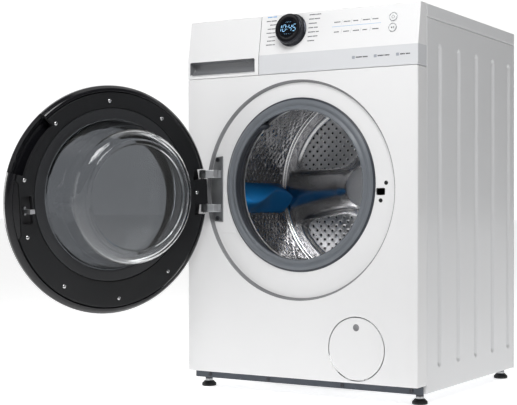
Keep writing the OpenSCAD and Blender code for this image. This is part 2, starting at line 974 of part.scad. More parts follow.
module drum_pulley()
    color("silver") {
        y_ring(0, drum_z, 24, shaft_rear_r, pulley_d - 14, pulley_d + 14);
        y_ring(0, drum_z, pulley_r, pulley_r - 8, pulley_d - 8, pulley_d + 8);
        for (a = [0 : 60 : 300])
            translate([0, front_y + pulley_d - 3, drum_z])
                rotate([0, a, 0])
                    translate([23, 0, -8])
                        cube([pulley_r - 30, 6, 16]);
    }

// ---------- door lock and hinge ----------

module door_lock()
    color("dimgray") {
        block(193, 242, 40, tub_d0 - 0.5, 425, 486);
        block(193, 242, 19, 39.9, 460, 486);
        block(193, 242, 19, 39.9, 425, 445);
        block(193, 194.5, 19, 39.9, 445.1, 459.9);
        block(215.5, 242, 19, 39.9, 445.1, 459.9);
    }

// Fixed hinge plate with its two curved arms
module hinge_plate()
    color("darkgray")
    difference() {
        union() {
            intersection() {
                y_rod(0, door_z, dish_r - 7, dish_depth - 3, dish_depth);
                block(-240, -203, 0, 20, door_z - 71, door_z + 80);
            }
            for (side = [-1, 1])
                translate([0, front_y, door_z + side * arm_offset - arm_h / 2])
                    linear_extrude(arm_h) {
                        x = pin_x + side * arm_offset * pin_slope_x;
                        d = pin_d + side * arm_offset * pin_slope_d;
                        translate([x, d])
                            circle(r = 8);
                        polygon([
                            [-212, dish_depth - 2], [-212, -9], [-217, -17], [x + 16, d - 6.5],
                            [x + 6, d - 8], [x, d - 8], [x, d + 8], [x + 9, d + 6], [-227, -8],
                            [-224, -3], [-224, dish_depth - 2]
                        ]);
                    }
        }
        pin_rod(pin_r + fit_gap, 140);
    }

// Pin that the door turns on
module hinge_pin()
    color("silver")
    pin_rod(pin_r, 2 * arm_offset + arm_h + 2);

// ---------- door ----------

// Pockets that the hinge arms and the hinge block sit in, and the finger recess
module door_pockets() {
    half = arm_offset + arm_h / 2 + 4;
    block(-262, -206, -27, 8, door_z - half, door_z + half);
    intersection() {
        y_ring(0, door_z, rim_r + 10, grip_r, -19, 8);
        translate([0, front_y + 10, door_z])
            rotate([90, 0, 0])
                linear_extrude(40)
                    polygon([[0, 0], for (side = [-1, 1])
                        300 * [cos(grip_angle + side * grip_half_angle), sin(grip_angle + side * grip_half_angle)]]);
    }
}

module door_outer_ring()
    color([0.12, 0.12, 0.13])
    door_place()
        difference() {
            y_turned(0, door_z, [
                [150, -31], [226, -31], [238, -28.5], [244, -23], [rim_r, -16], [rim_r, -9],
                [244, -4.5], [240, -2], [235, -1.5], [231.6, -3], [231.6, -9], [239, -11],
                [240.5, -18], [236, -24.5], [225, -27.8], [150, -27.8]
            ]);
            door_pockets();
        }

module door_inner_ring()
    color([0.3, 0.3, 0.32])
    door_place()
        difference() {
            union() {
                y_turned(0, door_z, [
                    [170, -3], [228, -3], [228, -26.6], [ring_r, -25.6], [ring_r, -1.2],
                    [230, 0], [170, 0]
                ]);
                y_ring(0, drum_z, collar_r, bowl_r + 2, -3, 0.6);
                y_ring(0, drum_z, 184, 180, -20, -3);
                // pocket walls that hold the hook's pivot
                block(hook_x - 12, hook_x + 12, -14, -2, hook_z - 12, hook_z + 12);
            }
            y_rod(0, drum_z, bowl_r + 2, -40, 10);
            door_pockets();
            block(hook_x - 9, hook_x + 8, -15, 6, hook_z - 5, hook_z + 5);
            translate(at(hook_x, hook_pin_d, hook_z - 9))
                cylinder(r = 2.5 + fit_gap, h = 18, $fn = 48);
        }

// Thick glass bowl that reaches into the drum
module door_bowl()
    color([0.75, 0.85, 0.88, 0.4])
    door_place()
        y_turned(0, drum_z, [
            [179, -8], [179, -3.3], [161, -3.3], [bowl_r - 1, 4], [bowl_r - 6, 24],
            [148, 46], [141, bowl_depth - 20], [136, bowl_depth - 10], [127, bowl_depth - 3],
            [112, bowl_depth], [0, bowl_depth], [0, bowl_depth - 5], [111, bowl_depth - 5],
            [124, bowl_depth - 8], [131.5, bowl_depth - 14], [136, bowl_depth - 22],
            [143, 45], [149, 23], [bowl_r - 6, 3], [bowl_r - 5.5, -8]
        ]);

// Tinted outer window behind the outer ring
module door_window()
    color([0.1, 0.1, 0.12, 0.6])
    door_place()
        y_rod(0, door_z, 172, -27.8, -23.8);

module door_screws()
    color("black")
    door_place() {
        for (a = door_screw_angles)
            translate(at(screw_ring_r * cos(a), 0, door_z + screw_ring_r * sin(a)))
                rotate([-90, 0, 0])
                    screw_head(4.5, 2);
        translate(at(-214, 0, door_z))
            rotate([-90, 0, 0])
                screw_head(4.5, 2);
    }

// Block between the hinge arms; the pin is pressed into it
module hinge_block()
    color([0.2, 0.2, 0.22])
    door_place() {
        half = arm_offset - arm_h / 2 - 2;
        difference() {
            union() {
                block(-242, -207, -26.5, 0, door_z - half, door_z + half);
                pin_rod(8.5, 2 * half);
            }
            pin_rod(pin_r, 100);
        }
    }

// Sprung hook that drops into the door lock
module door_hook()
    color([0.25, 0.25, 0.27])
    door_place()
        translate(at(hook_x, 0, hook_z)) {
            translate([-3, -13, -4.5])
                cube([6, 37, 9]);
            translate([-7.5, 15, -4.5])
                cube([5, 9, 9]);
            translate([0, hook_pin_d, -8.5])
                cylinder(r = 2.5, h = 17, $fn = 48);
        }

front_panel();
mouth_plate();
left_side_panel();
right_side_panel();
rear_panel();
rear_access_cover();
worktop();
control_fascia();
display_window();
touch_key_strip();
control_board();
drawer_housing();
plinth_bar();
base_frame();
top_braces();
hinge_plate();
door_lock();
bellows();
tub_front();
tub_rear();
counterweights();
suspension_springs();
dampers();
drum_bearings();
heater();
motor();
drain_pump();
inlet_valve();
hoses();
fasteners();
transit_plugs();
cable_gland();
door_outer_ring();
door_inner_ring();
door_bowl();
door_window();
door_screws();
hinge_block();
hinge_pin();
door_hook();
drawer_front();
drawer_tray();
softener_cap();
program_knob();
power_key();
start_key();
service_flap();
pump_filter();
drum_shell();
drum_back();
lifters();
drum_spider();
drum_pulley();
drive_belt();
motor_pulley();
pump_impeller();
foot_front_left();
foot_front_right();
foot_rear_left();
foot_rear_right();
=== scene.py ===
"""Looks of the front load washing machine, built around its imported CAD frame.

Lengths in the tables below are millimetres, in the machine's own frame: x to the right, z up from the floor,
and "depth" back from the front panel's face. The helpers turn them into metres.
"""
import json
import math

import bmesh
import bpy
from mathutils import Matrix, Vector


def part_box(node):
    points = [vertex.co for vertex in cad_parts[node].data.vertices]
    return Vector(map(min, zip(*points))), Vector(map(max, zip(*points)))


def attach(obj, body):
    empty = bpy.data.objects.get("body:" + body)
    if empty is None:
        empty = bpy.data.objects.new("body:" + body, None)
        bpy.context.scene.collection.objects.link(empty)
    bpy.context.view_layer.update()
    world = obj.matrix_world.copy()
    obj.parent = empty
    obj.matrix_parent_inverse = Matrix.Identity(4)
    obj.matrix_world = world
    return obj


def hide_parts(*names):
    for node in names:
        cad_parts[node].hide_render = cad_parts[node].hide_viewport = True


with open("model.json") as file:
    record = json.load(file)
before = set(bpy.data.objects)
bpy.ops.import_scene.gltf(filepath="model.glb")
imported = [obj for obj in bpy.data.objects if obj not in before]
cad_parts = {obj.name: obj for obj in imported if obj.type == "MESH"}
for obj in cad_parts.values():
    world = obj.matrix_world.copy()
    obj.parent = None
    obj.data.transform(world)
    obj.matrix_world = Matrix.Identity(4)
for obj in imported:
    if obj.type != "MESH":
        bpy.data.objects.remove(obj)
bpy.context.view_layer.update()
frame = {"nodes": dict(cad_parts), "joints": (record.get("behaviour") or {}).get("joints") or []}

MM = 0.001
FRONT_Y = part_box("front_panel")[0].y
HALF_W = 1000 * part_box("front_panel")[1].x
FRONT_Z0 = 1000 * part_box("front_panel")[0].z
FRONT_Z1 = 1000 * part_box("front_panel")[1].z
BODY_H = 1000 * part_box("worktop")[1].z
WORKTOP_Z = 1000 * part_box("worktop")[0].z
DOOR_Z = 457
DRUM_Z = 469
BREAK_Z = 760
LEAN = math.atan(14 / 90)
PANEL_Z = 811
KNOB_X = -16
KEY_X = 235
POWER_Z = 821
START_Z = 798
FLAP_X = 150
FLAP_Z = 115
LOCK_SCREWS = ((218, 471), (205, 433.5))
ROUND = 192
HINGE = next(j for j in frame["joints"] if j["name"] == "door_hinge")


# ---------- geometry helpers ----------

def at(x, depth, z):
    """A point in metres from x, depth and height in millimetres."""
    return Vector((x * MM, FRONT_Y + depth * MM, z * MM))


def fillet(points, radii, steps=6, closed=True):
    """Rounds the corners of a 2D outline; radii gives one radius per corner."""
    out = []
    n = len(points)
    for i, p in enumerate(points):
        r = radii[i]
        if r <= 0 or (not closed and i in (0, n - 1)):
            out.append(tuple(p))
            continue
        p = Vector(p)
        a = (Vector(points[i - 1]) - p)
        b = (Vector(points[(i + 1) % n]) - p)
        reach_a, reach_b = a.length, b.length
        a.normalize()
        b.normalize()
        half = math.acos(max(-1, min(1, a.dot(b)))) / 2
        if half > math.pi / 2 - 0.01:
            out.append(tuple(p))
            continue
        reach = min(r / math.tan(half), 0.48 * reach_a, 0.48 * reach_b)
        r = reach * math.tan(half)
        centre = p + (a + b).normalized() * (r / math.sin(half))
        start = p + a * reach - centre
        end = p + b * reach - centre
        turn = start.angle_signed(end)
        for k in range(steps + 1):
            v = start.copy()
            v.rotate(Matrix.Rotation(-turn * k / steps, 2))
            out.append(tuple(centre + v))
    return out


def arc_points(cx, cy, r, start, end, steps):
    """Points along an arc, from one angle in radians to another."""
    out = []
    for k in range(steps + 1):
        a = start + (end - start) * k / steps
        out.append((cx + r * math.cos(a), cy + r * math.sin(a)))
    return out


def left_arc(r, centre_z, z0, z1, steps):
    """Points on the left half of a circle about x = 0, between two heights."""
    heights = [z0 + (z1 - z0) * k / steps for k in range(steps + 1)]
    return [(-math.sqrt(r ** 2 - (z - centre_z) ** 2), z) for z in heights]


def circle_points(cx, cy, r, n=ROUND):
    return [(cx + r * math.cos(2 * math.pi * k / n), cy + r * math.sin(2 * math.pi * k / n))
            for k in range(n)]


def rect_points(x0, x1, y0, y1, r, steps=6):
    return fillet([(x0, y0), (x1, y0), (x1, y1), (x0, y1)], [r] * 4, steps)


def stadium_points(cx, y0, y1, half, steps=10):
    """An upright bar with round ends."""
    return (arc_points(cx, y1 - half, half, 0, math.pi, steps)
            + arc_points(cx, y0 + half, half, math.pi, 2 * math.pi, steps))


def finish_mesh(name, bm, materials, sharp=35, facing=None):
    """Turns a bmesh into an object with merged points, outward normals and smooth shading.

    facing is the side that an open sheet shows."""
    bmesh.ops.remove_doubles(bm, verts=bm.verts, dist=2e-6)
    bmesh.ops.recalc_face_normals(bm, faces=bm.faces)
    if facing and sum(f.calc_area() * f.normal.dot(Vector(facing)) for f in bm.faces) < 0:
        bmesh.ops.reverse_faces(bm, faces=bm.faces)
    mesh = bpy.data.meshes.new(name)
    bm.to_mesh(mesh)
    bm.free()
    mesh.shade_smooth()
    mesh.set_sharp_from_angle(angle=math.radians(sharp))
    obj = bpy.data.objects.new(name, mesh)
    bpy.context.scene.collection.objects.link(obj)
    for m in materials if isinstance(materials, (list, tuple)) else [materials]:
        mesh.materials.append(m)
    return obj


def add_loop(bm, points3):
    return [bm.verts.new(p) for p in points3]


def bridge(bm, a, b, closed=True, index=0):
    """Quads between two rows of the same number of points."""
    n = len(a)
    for i in range(n if closed else n - 1):
        j = (i + 1) % n
        f = bm.faces.new((a[i], a[j], b[j], b[i]))
        f.material_index = index


def fill(bm, loops, index=0):
    """Fills the flat region between an outer loop and the holes inside it."""
    edges = []
    for loop in loops:
        for i, v in enumerate(loop):
            w = loop[(i + 1) % len(loop)]
            edges.append(bm.edges.get((v, w)) or bm.edges.new((v, w)))
    made = bmesh.ops.triangle_fill(bm, use_beauty=True, use_dissolve=False, edges=edges)
    for g in made["geom"]:
        if isinstance(g, bmesh.types.BMFace):
            g.material_index = index


def lathe(name, profile, materials, x=0, z=DRUM_Z, n=ROUND, closed=True, sharp=35, spans=None, facing=None):
    """Turns a profile of (radius, depth) points about an axis along Y.

    A third value gives a point its own axis height, and spans gives a material per profile step."""
    bm = bmesh.new()
    rings = []
    for r, d, *own in profile:
        height = own[0] if own else z
        count = 1 if r < 1e-6 else n
        rings.append([bm.verts.new(at(x + r * math.cos(2 * math.pi * k / n), d,
                                      height + r * math.sin(2 * math.pi * k / n))) for k in range(count)])
    join_rings(bm, rings, closed, spans)
    return finish_mesh(name, bm, materials, sharp, facing)


def join_rings(bm, rings, closed, spans=None):
    """Faces between rows of points that go round; a row of one point is a pole."""
    for i in range(len(rings) if closed else len(rings) - 1):
        a, b = rings[i], rings[(i + 1) % len(rings)]
        n = max(len(a), len(b))
        if n == 1:
            continue
        for k in range(n):
            j = (k + 1) % n
            if len(a) == 1:
                f = bm.faces.new((a[0], b[j], b[k]))
            elif len(b) == 1:
                f = bm.faces.new((a[k], a[j], b[0]))
            else:
                f = bm.faces.new((a[k], a[j], b[j], b[k]))
            f.material_index = spans[i] if spans else 0


def turned(name, profile, materials, n=ROUND, spans=None, shape=None, sharp=35):
    """Turns a profile of (radius, height) points about Z at the origin.

    shape(r, h, angle) may change a radius."""
    bm = bmesh.new()
    rings = []
    for r, h in profile:
        count = 1 if r < 1e-6 else n
        ring = []
        for k in range(count):
            a = 2 * math.pi * k / n
            q = shape(r, h, a) if shape else r
            ring.append(bm.verts.new(Vector((q * math.cos(a), q * math.sin(a), h)) * MM))
        rings.append(ring)
    join_rings(bm, rings, False, spans)
    return finish_mesh(name, bm, materials, sharp)


def plates(name, outlines, materials, h0, h1):
    """Thin plates drawn about the origin, facing +Z. Each outline is (points, material index)."""
    bm = bmesh.new()
    for points, index in outlines:
        a = add_loop(bm, [Vector((x, y, h0)) * MM for x, y in points])
        b = add_loop(bm, [Vector((x, y, h1)) * MM for x, y in points])
        bridge(bm, a, b, index=index)
        for loop in (a, b):
            bm.faces.new(loop).material_index = index
    return finish_mesh(name, bm, materials)


def row_at(bm, outline, depth):
    """A row of points from an outline of (x, z), at one depth."""
    return add_loop(bm, [at(x, depth, z) for x, z in outline])


def prism(name, ends, materials, sharp=35):
    """Joins two matching outlines and closes both ends."""
    bm = bmesh.new()
    a, b = [add_loop(bm, end) for end in ends]
    bridge(bm, a, b)
    bm.faces.new(a)
    bm.faces.new(b)
    return finish_mesh(name, bm, materials, sharp)


def prism_x(name, outline, x0, x1, materials):
    """Draws a closed outline of (depth, z) points out along X."""
    return prism(name, [[at(x, d, z) for d, z in outline] for x in (x0, x1)], materials)


def prism_y(name, outline, d0, d1, materials):
    """Draws a closed outline of (x, z) points out along the depth."""
    return prism(name, [[at(x, d, z) for x, z in outline] for d in (d0, d1)], materials)


def prism_z(name, outline, z0, z1, materials):
    """Draws a closed outline of (x, depth) points out upwards."""
    return prism(name, [[at(x, d, z) for x, d in outline] for z in (z0, z1)], materials)


def bake_modifiers(obj):
    """Replaces the object's mesh with its modified result."""
    bpy.context.view_layer.update()
    graph = bpy.context.evaluated_depsgraph_get()
    mesh = bpy.data.meshes.new_from_object(obj.evaluated_get(graph))
    obj.modifiers.clear()
    obj.data = mesh
    return obj


def bevel(obj, width, segments=3, angle=30):
    m = obj.modifiers.new("bevel", "BEVEL")
    m.width = width * MM
    m.segments = segments
    m.limit_method = "ANGLE"
    m.angle_limit = math.radians(angle)
    m.harden_normals = True
    return bake_modifiers(obj)


def solidify(obj, thickness):
    m = obj.modifiers.new("skin", "SOLIDIFY")
    m.thickness = thickness * MM
    m.offset = -1
    return bake_modifiers(obj)


def dress(obj, materials, choose):
    """Gives an object new materials; choose(face) says which one a face takes."""
    obj.data.materials.clear()
    for m in materials:
        obj.data.materials.append(m)
    for f in obj.data.polygons:
        f.material_index = choose(f)
    return obj


def cut(obj, *cutters, operation="DIFFERENCE"):
    """Takes the cutters' shapes out of the object, or keeps only what is inside them."""
    for c in cutters:
        m = obj.modifiers.new("cut", "BOOLEAN")
        m.operation = operation
        m.solver = "EXACT"
        m.object = c
    bake_modifiers(obj)
    for c in cutters:
        bpy.data.objects.remove(c)
    return flatten(obj)


def flatten(obj):
    """Shades large flat faces flat right up to their rounded edges."""
    obj.data.shade_smooth()
    obj.data.set_sharp_from_angle(angle=math.radians(35))
    m = obj.modifiers.new("normals", "WEIGHTED_NORMAL")
    m.keep_sharp = True
    return bake_modifiers(obj)


def swing_open(obj):
    """Moves a piece drawn on the closed door to where the open door holds it."""
    pin = Vector(HINGE["pos_m"])
    turn = Matrix.Rotation(-math.radians(HINGE["range_deg"][1]), 4, Vector(HINGE["axis"]))
    obj.data.transform(Matrix.Translation(pin) @ turn @ Matrix.Translation(-pin))
    return obj


def on_panel(obj, x, z, out=0):
    """Moves a piece drawn about the origin, facing +Z, onto the leaning face of the control panel."""
    place = Matrix.Translation(at(x, (z - BREAK_Z) * math.tan(LEAN), z))
    tilt = Matrix.Rotation(math.pi / 2 - LEAN, 4, "X")
    obj.data.transform(place @ tilt @ Matrix.Translation((0, 0, out * MM)))
    return obj


def piece(obj, body, slot, *replaced):
    """Fixes a piece to a body and hides the CAD nodes that it stands in for; slot is not used."""
    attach(obj, body)
    if replaced:
        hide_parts(*replaced)
    return obj


# ---------- material helpers ----------

class Paint:
    """A small builder of node materials."""

    def __init__(self, name, color, rough=0.4, metallic=0.0, alpha=1.0):
        self.m = bpy.data.materials.new(name)
        self.m.use_nodes = True
        self.t = self.m.node_tree
        self.b = self.t.nodes["Principled BSDF"]
        self.color = (*color, 1.0)
        self.b.inputs["Base Color"].default_value = self.color
        self.b.inputs["Roughness"].default_value = rough
        self.b.inputs["Metallic"].default_value = metallic
        self.b.inputs["Alpha"].default_value = alpha
        self.rough = rough
        self.height = None
        coords = self.t.nodes.new("ShaderNodeTexCoord")
        self.where = coords.outputs["Object"]

    def set(self, **values):
        for key, value in values.items():
            self.b.inputs[key.replace("_", " ")].default_value = value
        return self

    def node(self, kind, **inputs):
        n = self.t.nodes.new(kind)
        for key, value in inputs.items():
            n.inputs[key.replace("_", " ")].default_value = value
        return n

    def link(self, a, b):
        self.t.links.new(a, b)

    def scaled(self, scale):
        """The object coordinates, stretched by scale."""
        n = self.t.nodes.new("ShaderNodeMapping")
        n.inputs["Scale"].default_value = scale
        self.link(self.where, n.inputs["Vector"])
        return n.outputs["Vector"]

    def noise(self, scale, detail=4.0, stretch=None):
        n = self.node("ShaderNodeTexNoise", Scale=scale, Detail=detail)
        self.link(self.scaled(stretch) if stretch else self.where, n.inputs["Vector"])
        return n.outputs["Fac"]

    def ramp(self, fac, low, high, start=0.0, end=1.0):
        """Maps a factor from start..end to low..high."""
        n = self.t.nodes.new("ShaderNodeMapRange")
        for key, value in (("From Min", start), ("From Max", end), ("To Min", low), ("To Max", high)):
            n.inputs[key].default_value = value
        self.link(fac, n.inputs["Value"])
        return n.outputs["Result"]

    def vary_color(self, fac, other, amount=1.0, start=0.35, end=0.65):
        """Mixes the base colour towards another where fac is high."""
        n = self.t.nodes.new("ShaderNodeMix")
        n.data_type = "RGBA"
        n.inputs["A"].default_value = self.color
        n.inputs["B"].default_value = (*other, 1.0)
        self.link(self.ramp(fac, 0.0, amount, start, end), n.inputs["Factor"])
        self.link(n.outputs["Result"], self.b.inputs["Base Color"])
        return self

    def vary_rough(self, fac, low, high, start=0.3, end=0.7):
        self.link(self.ramp(fac, low, high, start, end), self.b.inputs["Roughness"])
        return self

    def maths(self, operation, a, b):
        """One arithmetic node; an input is a socket or a number."""
        n = self.t.nodes.new("ShaderNodeMath")
        n.operation = operation
        for socket, value in zip(n.inputs, (a, b)):
            if isinstance(value, (int, float)):
                socket.default_value = value
            else:
                self.link(value, socket)
        return n.outputs[0]

    def bump(self, fac, distance, strength=1.0):
        n = self.node("ShaderNodeBump", Strength=strength, Distance=distance * MM)
        self.link(fac, n.inputs["Height"])
        if self.height:
            self.link(self.height, n.inputs["Normal"])
        self.height = n.outputs["Normal"]
        self.link(self.height, self.b.inputs["Normal"])
        return self


def enamel(name, color, rough=0.22):
    """Powder enamel on sheet steel: gloss with a fine orange peel and faint clouding."""
    p = Paint(name, color, rough).set(Specular_IOR_Level=0.5, Coat_Weight=0.35, Coat_Roughness=0.08)
    p.bump(p.noise(900, 3), 0.02, 0.25)
    p.vary_rough(p.noise(40, 2), rough * 0.98, rough * 1.02)
    p.vary_color(p.noise(30, 2), tuple(c * 0.993 for c in color), 1.0, 0.2, 0.8)
    return p.m


def plastic(name, color, rough=0.35, grain=0.03, grain_scale=2200, shade=0.975, specular=0.5):
    """Moulded plastic with a spark-eroded grain and slightly uneven gloss."""
    p = Paint(name, color, rough).set(Specular_IOR_Level=specular)
    p.bump(p.noise(grain_scale, 2), grain, 0.35)
    p.vary_rough(p.noise(14, 3), rough * 0.92, min(1.0, rough * 1.1))
    p.vary_color(p.noise(6, 3), tuple(c * shade for c in color), 1.0, 0.2, 0.8)
    return p.m


def rubber(name, color, rough=0.55, shade=0.8):
    """Moulded rubber: satin, with a talc-like bloom in patches."""
    p = Paint(name, color, rough).set(Specular_IOR_Level=0.4, Sheen_Weight=0.15, Sheen_Roughness=0.4)
    p.bump(p.noise(1500, 3), 0.05, 0.3)
    p.vary_rough(p.noise(30, 6), rough * 0.8, min(1.0, rough * 1.25))
    p.vary_color(p.noise(16, 6), tuple(c * shade for c in color))
    return p.m


def metal(name, color, rough=0.25, brush=None, wear=0.85):
    """Metal with brushed or cast texture; brush stretches the grain."""
    p = Paint(name, color, rough, 1.0)
    grain = p.noise(260, 6, brush or (1, 1, 1))
    p.bump(grain, 0.02, 0.3)
    p.vary_rough(grain, rough * 0.8, min(1.0, rough * 1.35))
    p.vary_color(p.noise(25, 5), tuple(c * wear for c in color))
    return p.m


# ---------- materials ----------

def dotted(paint, u, v, pitch, radius, depth, dark=(0.01, 0.01, 0.012)):
    """Punched holes: dark dots of painted shade on a diagonal grid over two coordinates in metres, each in a
    small dimple.
    """
    t = paint.t
    rows = [paint.maths(op, u, v) for op in ("ADD", "SUBTRACT")]
    both = t.nodes.new("ShaderNodeCombineXYZ")
    paint.link(rows[0], both.inputs[0])
    paint.link(rows[1], both.inputs[1])
    cell = t.nodes.new("ShaderNodeTexVoronoi")
    cell.voronoi_dimensions = "2D"
    cell.inputs["Scale"].default_value = 1 / (pitch * MM)
    cell.inputs["Randomness"].default_value = 0.0
    paint.link(both.outputs[0], cell.inputs["Vector"])
    r = radius / pitch
    hole = paint.ramp(cell.outputs["Distance"], 1.0, 0.0, r * 0.85, r)
    dish = paint.ramp(cell.outputs["Distance"], 0.0, 1.0, r * 0.8, r * 1.7)
    mix = t.nodes.new("ShaderNodeMix")
    mix.data_type = "RGBA"
    paint.link(hole, mix.inputs["Factor"])
    base = paint.b.inputs["Base Color"]
    if base.links:
        paint.link(base.links[0].from_socket, mix.inputs["A"])
    else:
        mix.inputs["A"].default_value = paint.color
    # the holes' colour is painted shade, for the unlit space behind them
    mix.inputs["B"].default_value = (*dark, 1.0)
    paint.link(mix.outputs["Result"], base)
    paint.link(paint.ramp(hole, 1.0, 0.0, 0.0, 1.0), paint.b.inputs["Metallic"])
    return paint.bump(dish, depth, 1.0)


def axes(paint):
    """The x, y and z of a point, in metres."""
    n = paint.t.nodes.new("ShaderNodeSeparateXYZ")
    paint.link(paint.where, n.inputs[0])
    return n.outputs


DRUM_R = 0.24


def round_drum(paint):
    """The distance round the drum's wall at a point, in metres."""
    x, _, z = axes(paint)
    up = paint.maths("SUBTRACT", z, DRUM_Z * MM)
    turn = paint.maths("ARCTAN2", up, x)
    return paint.maths("MULTIPLY", turn, DRUM_R)


def glass(name, color, rough):
    p = Paint(name, color, rough).set(Transmission_Weight=1.0, IOR=1.47, Specular_IOR_Level=0.5)
    p.vary_rough(p.noise(9, 2), rough, rough + 0.008)
    p.vary_color(p.noise(7, 2), tuple(c * 0.97 for c in color))
    return p.m


def glow(name, color, strength):
    p = Paint(name, color, 0.3).set(Emission_Color=(*color, 1.0), Emission_Strength=strength)
    p.vary_color(p.noise(700, 2), tuple(c * 0.8 for c in color))
    return p.m


white_front = enamel("white_enamel_front", (0.80, 0.80, 0.805), 0.28)
# painted shade: a dark grey copy of the white enamel, which draws the shadowed ring on the dish's wall and
# the shade in the flap's press dimple
enamel_painted_shade = enamel("white_enamel_painted_shade", (0.21, 0.212, 0.22), 0.35)
# painted shade: the side panels take a slightly darker copy of the front's white enamel, for the dimmer light
# on the sides
side_enamel_painted_shade = enamel("white_enamel_side_painted_shade", (0.76, 0.765, 0.775), 0.30)
panel_white = plastic("panel_white", (0.84, 0.84, 0.845), 0.30)
band_grey = plastic("band_grey", (0.68, 0.69, 0.71), 0.32)
top_board = plastic("top_board", (0.86, 0.86, 0.865), 0.38, 0.04, 1500)
# painted shade: the worktop's frame takes the same darker grey as the shaded side panels
frame_painted_shade = plastic("frame_painted_shade", (0.76, 0.765, 0.775), 0.35)
# painted shade: dark grey for the walls of the drawer's finger recess above its lit sill, and for the
# drawer's end face in the seam
recess_painted_shade = plastic("recess_painted_shade", (0.19, 0.195, 0.205), 0.25)
print_grey = plastic("print_grey", (0.045, 0.048, 0.055), 0.5, 0.03, 2200, 0.975, 0.2)
print_blue = plastic("print_blue", (0.05, 0.33, 0.72), 0.45)
line_pale = plastic("line_pale", (0.36, 0.38, 0.43), 0.40)
gloss_black = plastic("gloss_black", (0.008, 0.008, 0.010), 0.17, 0.01, 900, 0.7)
satin_black = plastic("satin_black", (0.014, 0.0145, 0.016), 0.40, 0.03, 2200, 0.8, 0.25)
step_black = plastic("step_black", (0.030, 0.031, 0.034), 0.30, 0.02, 2200, 0.85, 0.3)
matte_black = plastic("matte_black", (0.014, 0.014, 0.016), 0.62, 0.06, 1600, 0.75)
knob_side = metal("knob_side", (0.045, 0.047, 0.055), 0.26, (1, 1, 6))
key_ring = metal("key_ring", (0.62, 0.63, 0.65), 0.25)
key_face = plastic("key_face", (0.84, 0.845, 0.85), 0.32)
digit_blue = glow("digit_blue", (0.30, 0.60, 0.90), 0.95)
smoke = plastic("display_smoke", (0.004, 0.005, 0.008), 0.06, 0.005, 600, 0.6)
seal_grey = rubber("seal_grey", (0.155, 0.17, 0.19), 0.40, 0.9)
# painted shade: near-black rubber for the seal's parts that lie in shade, the gap at its outer edge and its
# inner wall
seal_painted_shade = rubber("seal_painted_shade", (0.035, 0.04, 0.052), 0.45, 0.8)
bowl_clear = glass("bowl_clear", (0.93, 0.95, 0.96), 0.015)
window_dark = glass("window_dark", (0.115, 0.12, 0.13), 0.03)
hinge_metal = metal("hinge_metal", (0.36, 0.37, 0.38), 0.42)
arm_metal = metal("arm_metal", (0.60, 0.61, 0.63), 0.36)
bright = metal("bright_steel", (0.66, 0.66, 0.67), 0.22)
zinc = metal("zinc_steel", (0.55, 0.56, 0.57), 0.38, (1, 1, 0.2))
cast = metal("cast_alloy", (0.46, 0.47, 0.48), 0.5)
blue = plastic("lifter_blue", (0.018, 0.34, 0.90), 0.22, 0.02, 1800, 0.85)
plinth_blue = plastic("plinth_dark", (0.055, 0.065, 0.082), 0.45)
foot_black = rubber("foot_black", (0.012, 0.012, 0.013), 0.5)
# painted shade: near-black for the walls of holes, slots and screw recesses
hole_painted_shade = plastic("hole_painted_shade", (0.008, 0.008, 0.009), 0.6)

drum_paint = Paint("drum_wall", (0.46, 0.46, 0.47), 0.05, 1.0)
drum_paint.vary_rough(drum_paint.noise(120, 5, (1, 4, 1)), 0.04, 0.07)
drum_paint.vary_color(drum_paint.noise(8, 5), (0.38, 0.38, 0.39))
dotted(drum_paint, round_drum(drum_paint), axes(drum_paint)[1], 18, 2.3, 0.5)
drum_lip = metal("drum_lip", (0.86, 0.86, 0.87), 0.38, (1, 1, 1), 0.95)


def polished(name, color, low, high):
    """Polished drum steel: faint smears in the gloss, no grain."""
    p = Paint(name, color, low, 1.0)
    p.vary_rough(p.noise(22, 4), low, high)
    p.vary_color(p.noise(9, 3), tuple(c * 0.93 for c in color))
    return p.bump(p.noise(16, 2), 0.25, 0.5).m


drum_plain = polished("drum_plain", (0.74, 0.74, 0.75), 0.17, 0.23)
hub_satin = metal("hub_satin", (0.93, 0.93, 0.94), 0.62, (1, 1, 1), 0.97)
petal_paint = Paint("drum_petal", (0.74, 0.74, 0.75), 0.30, 1.0)
petal_paint.vary_rough(petal_paint.noise(120, 5), 0.27, 0.34)
petal_axes = axes(petal_paint)
dotted(petal_paint, petal_axes[0], petal_axes[2], 22, 4.3, 0.8)


# ---------- cabinet ----------

def border(x0, x1, z0, z1, back):
    """Rows of (outline, depth) from the sheet's folded back edge over its rounded edge to the flat face."""
    rows = []
    for inset, depth in ((0, back), (0, 8), (0, 3.2), (0.25, 1.8), (0.9, 0.75), (1.8, 0.2), (3.2, 0)):
        rows.append((rect_points(x0 + inset, x1 - inset, z0 + inset, z1 - inset, max(0.6, 4 - inset), 5),
                     depth))
    return rows


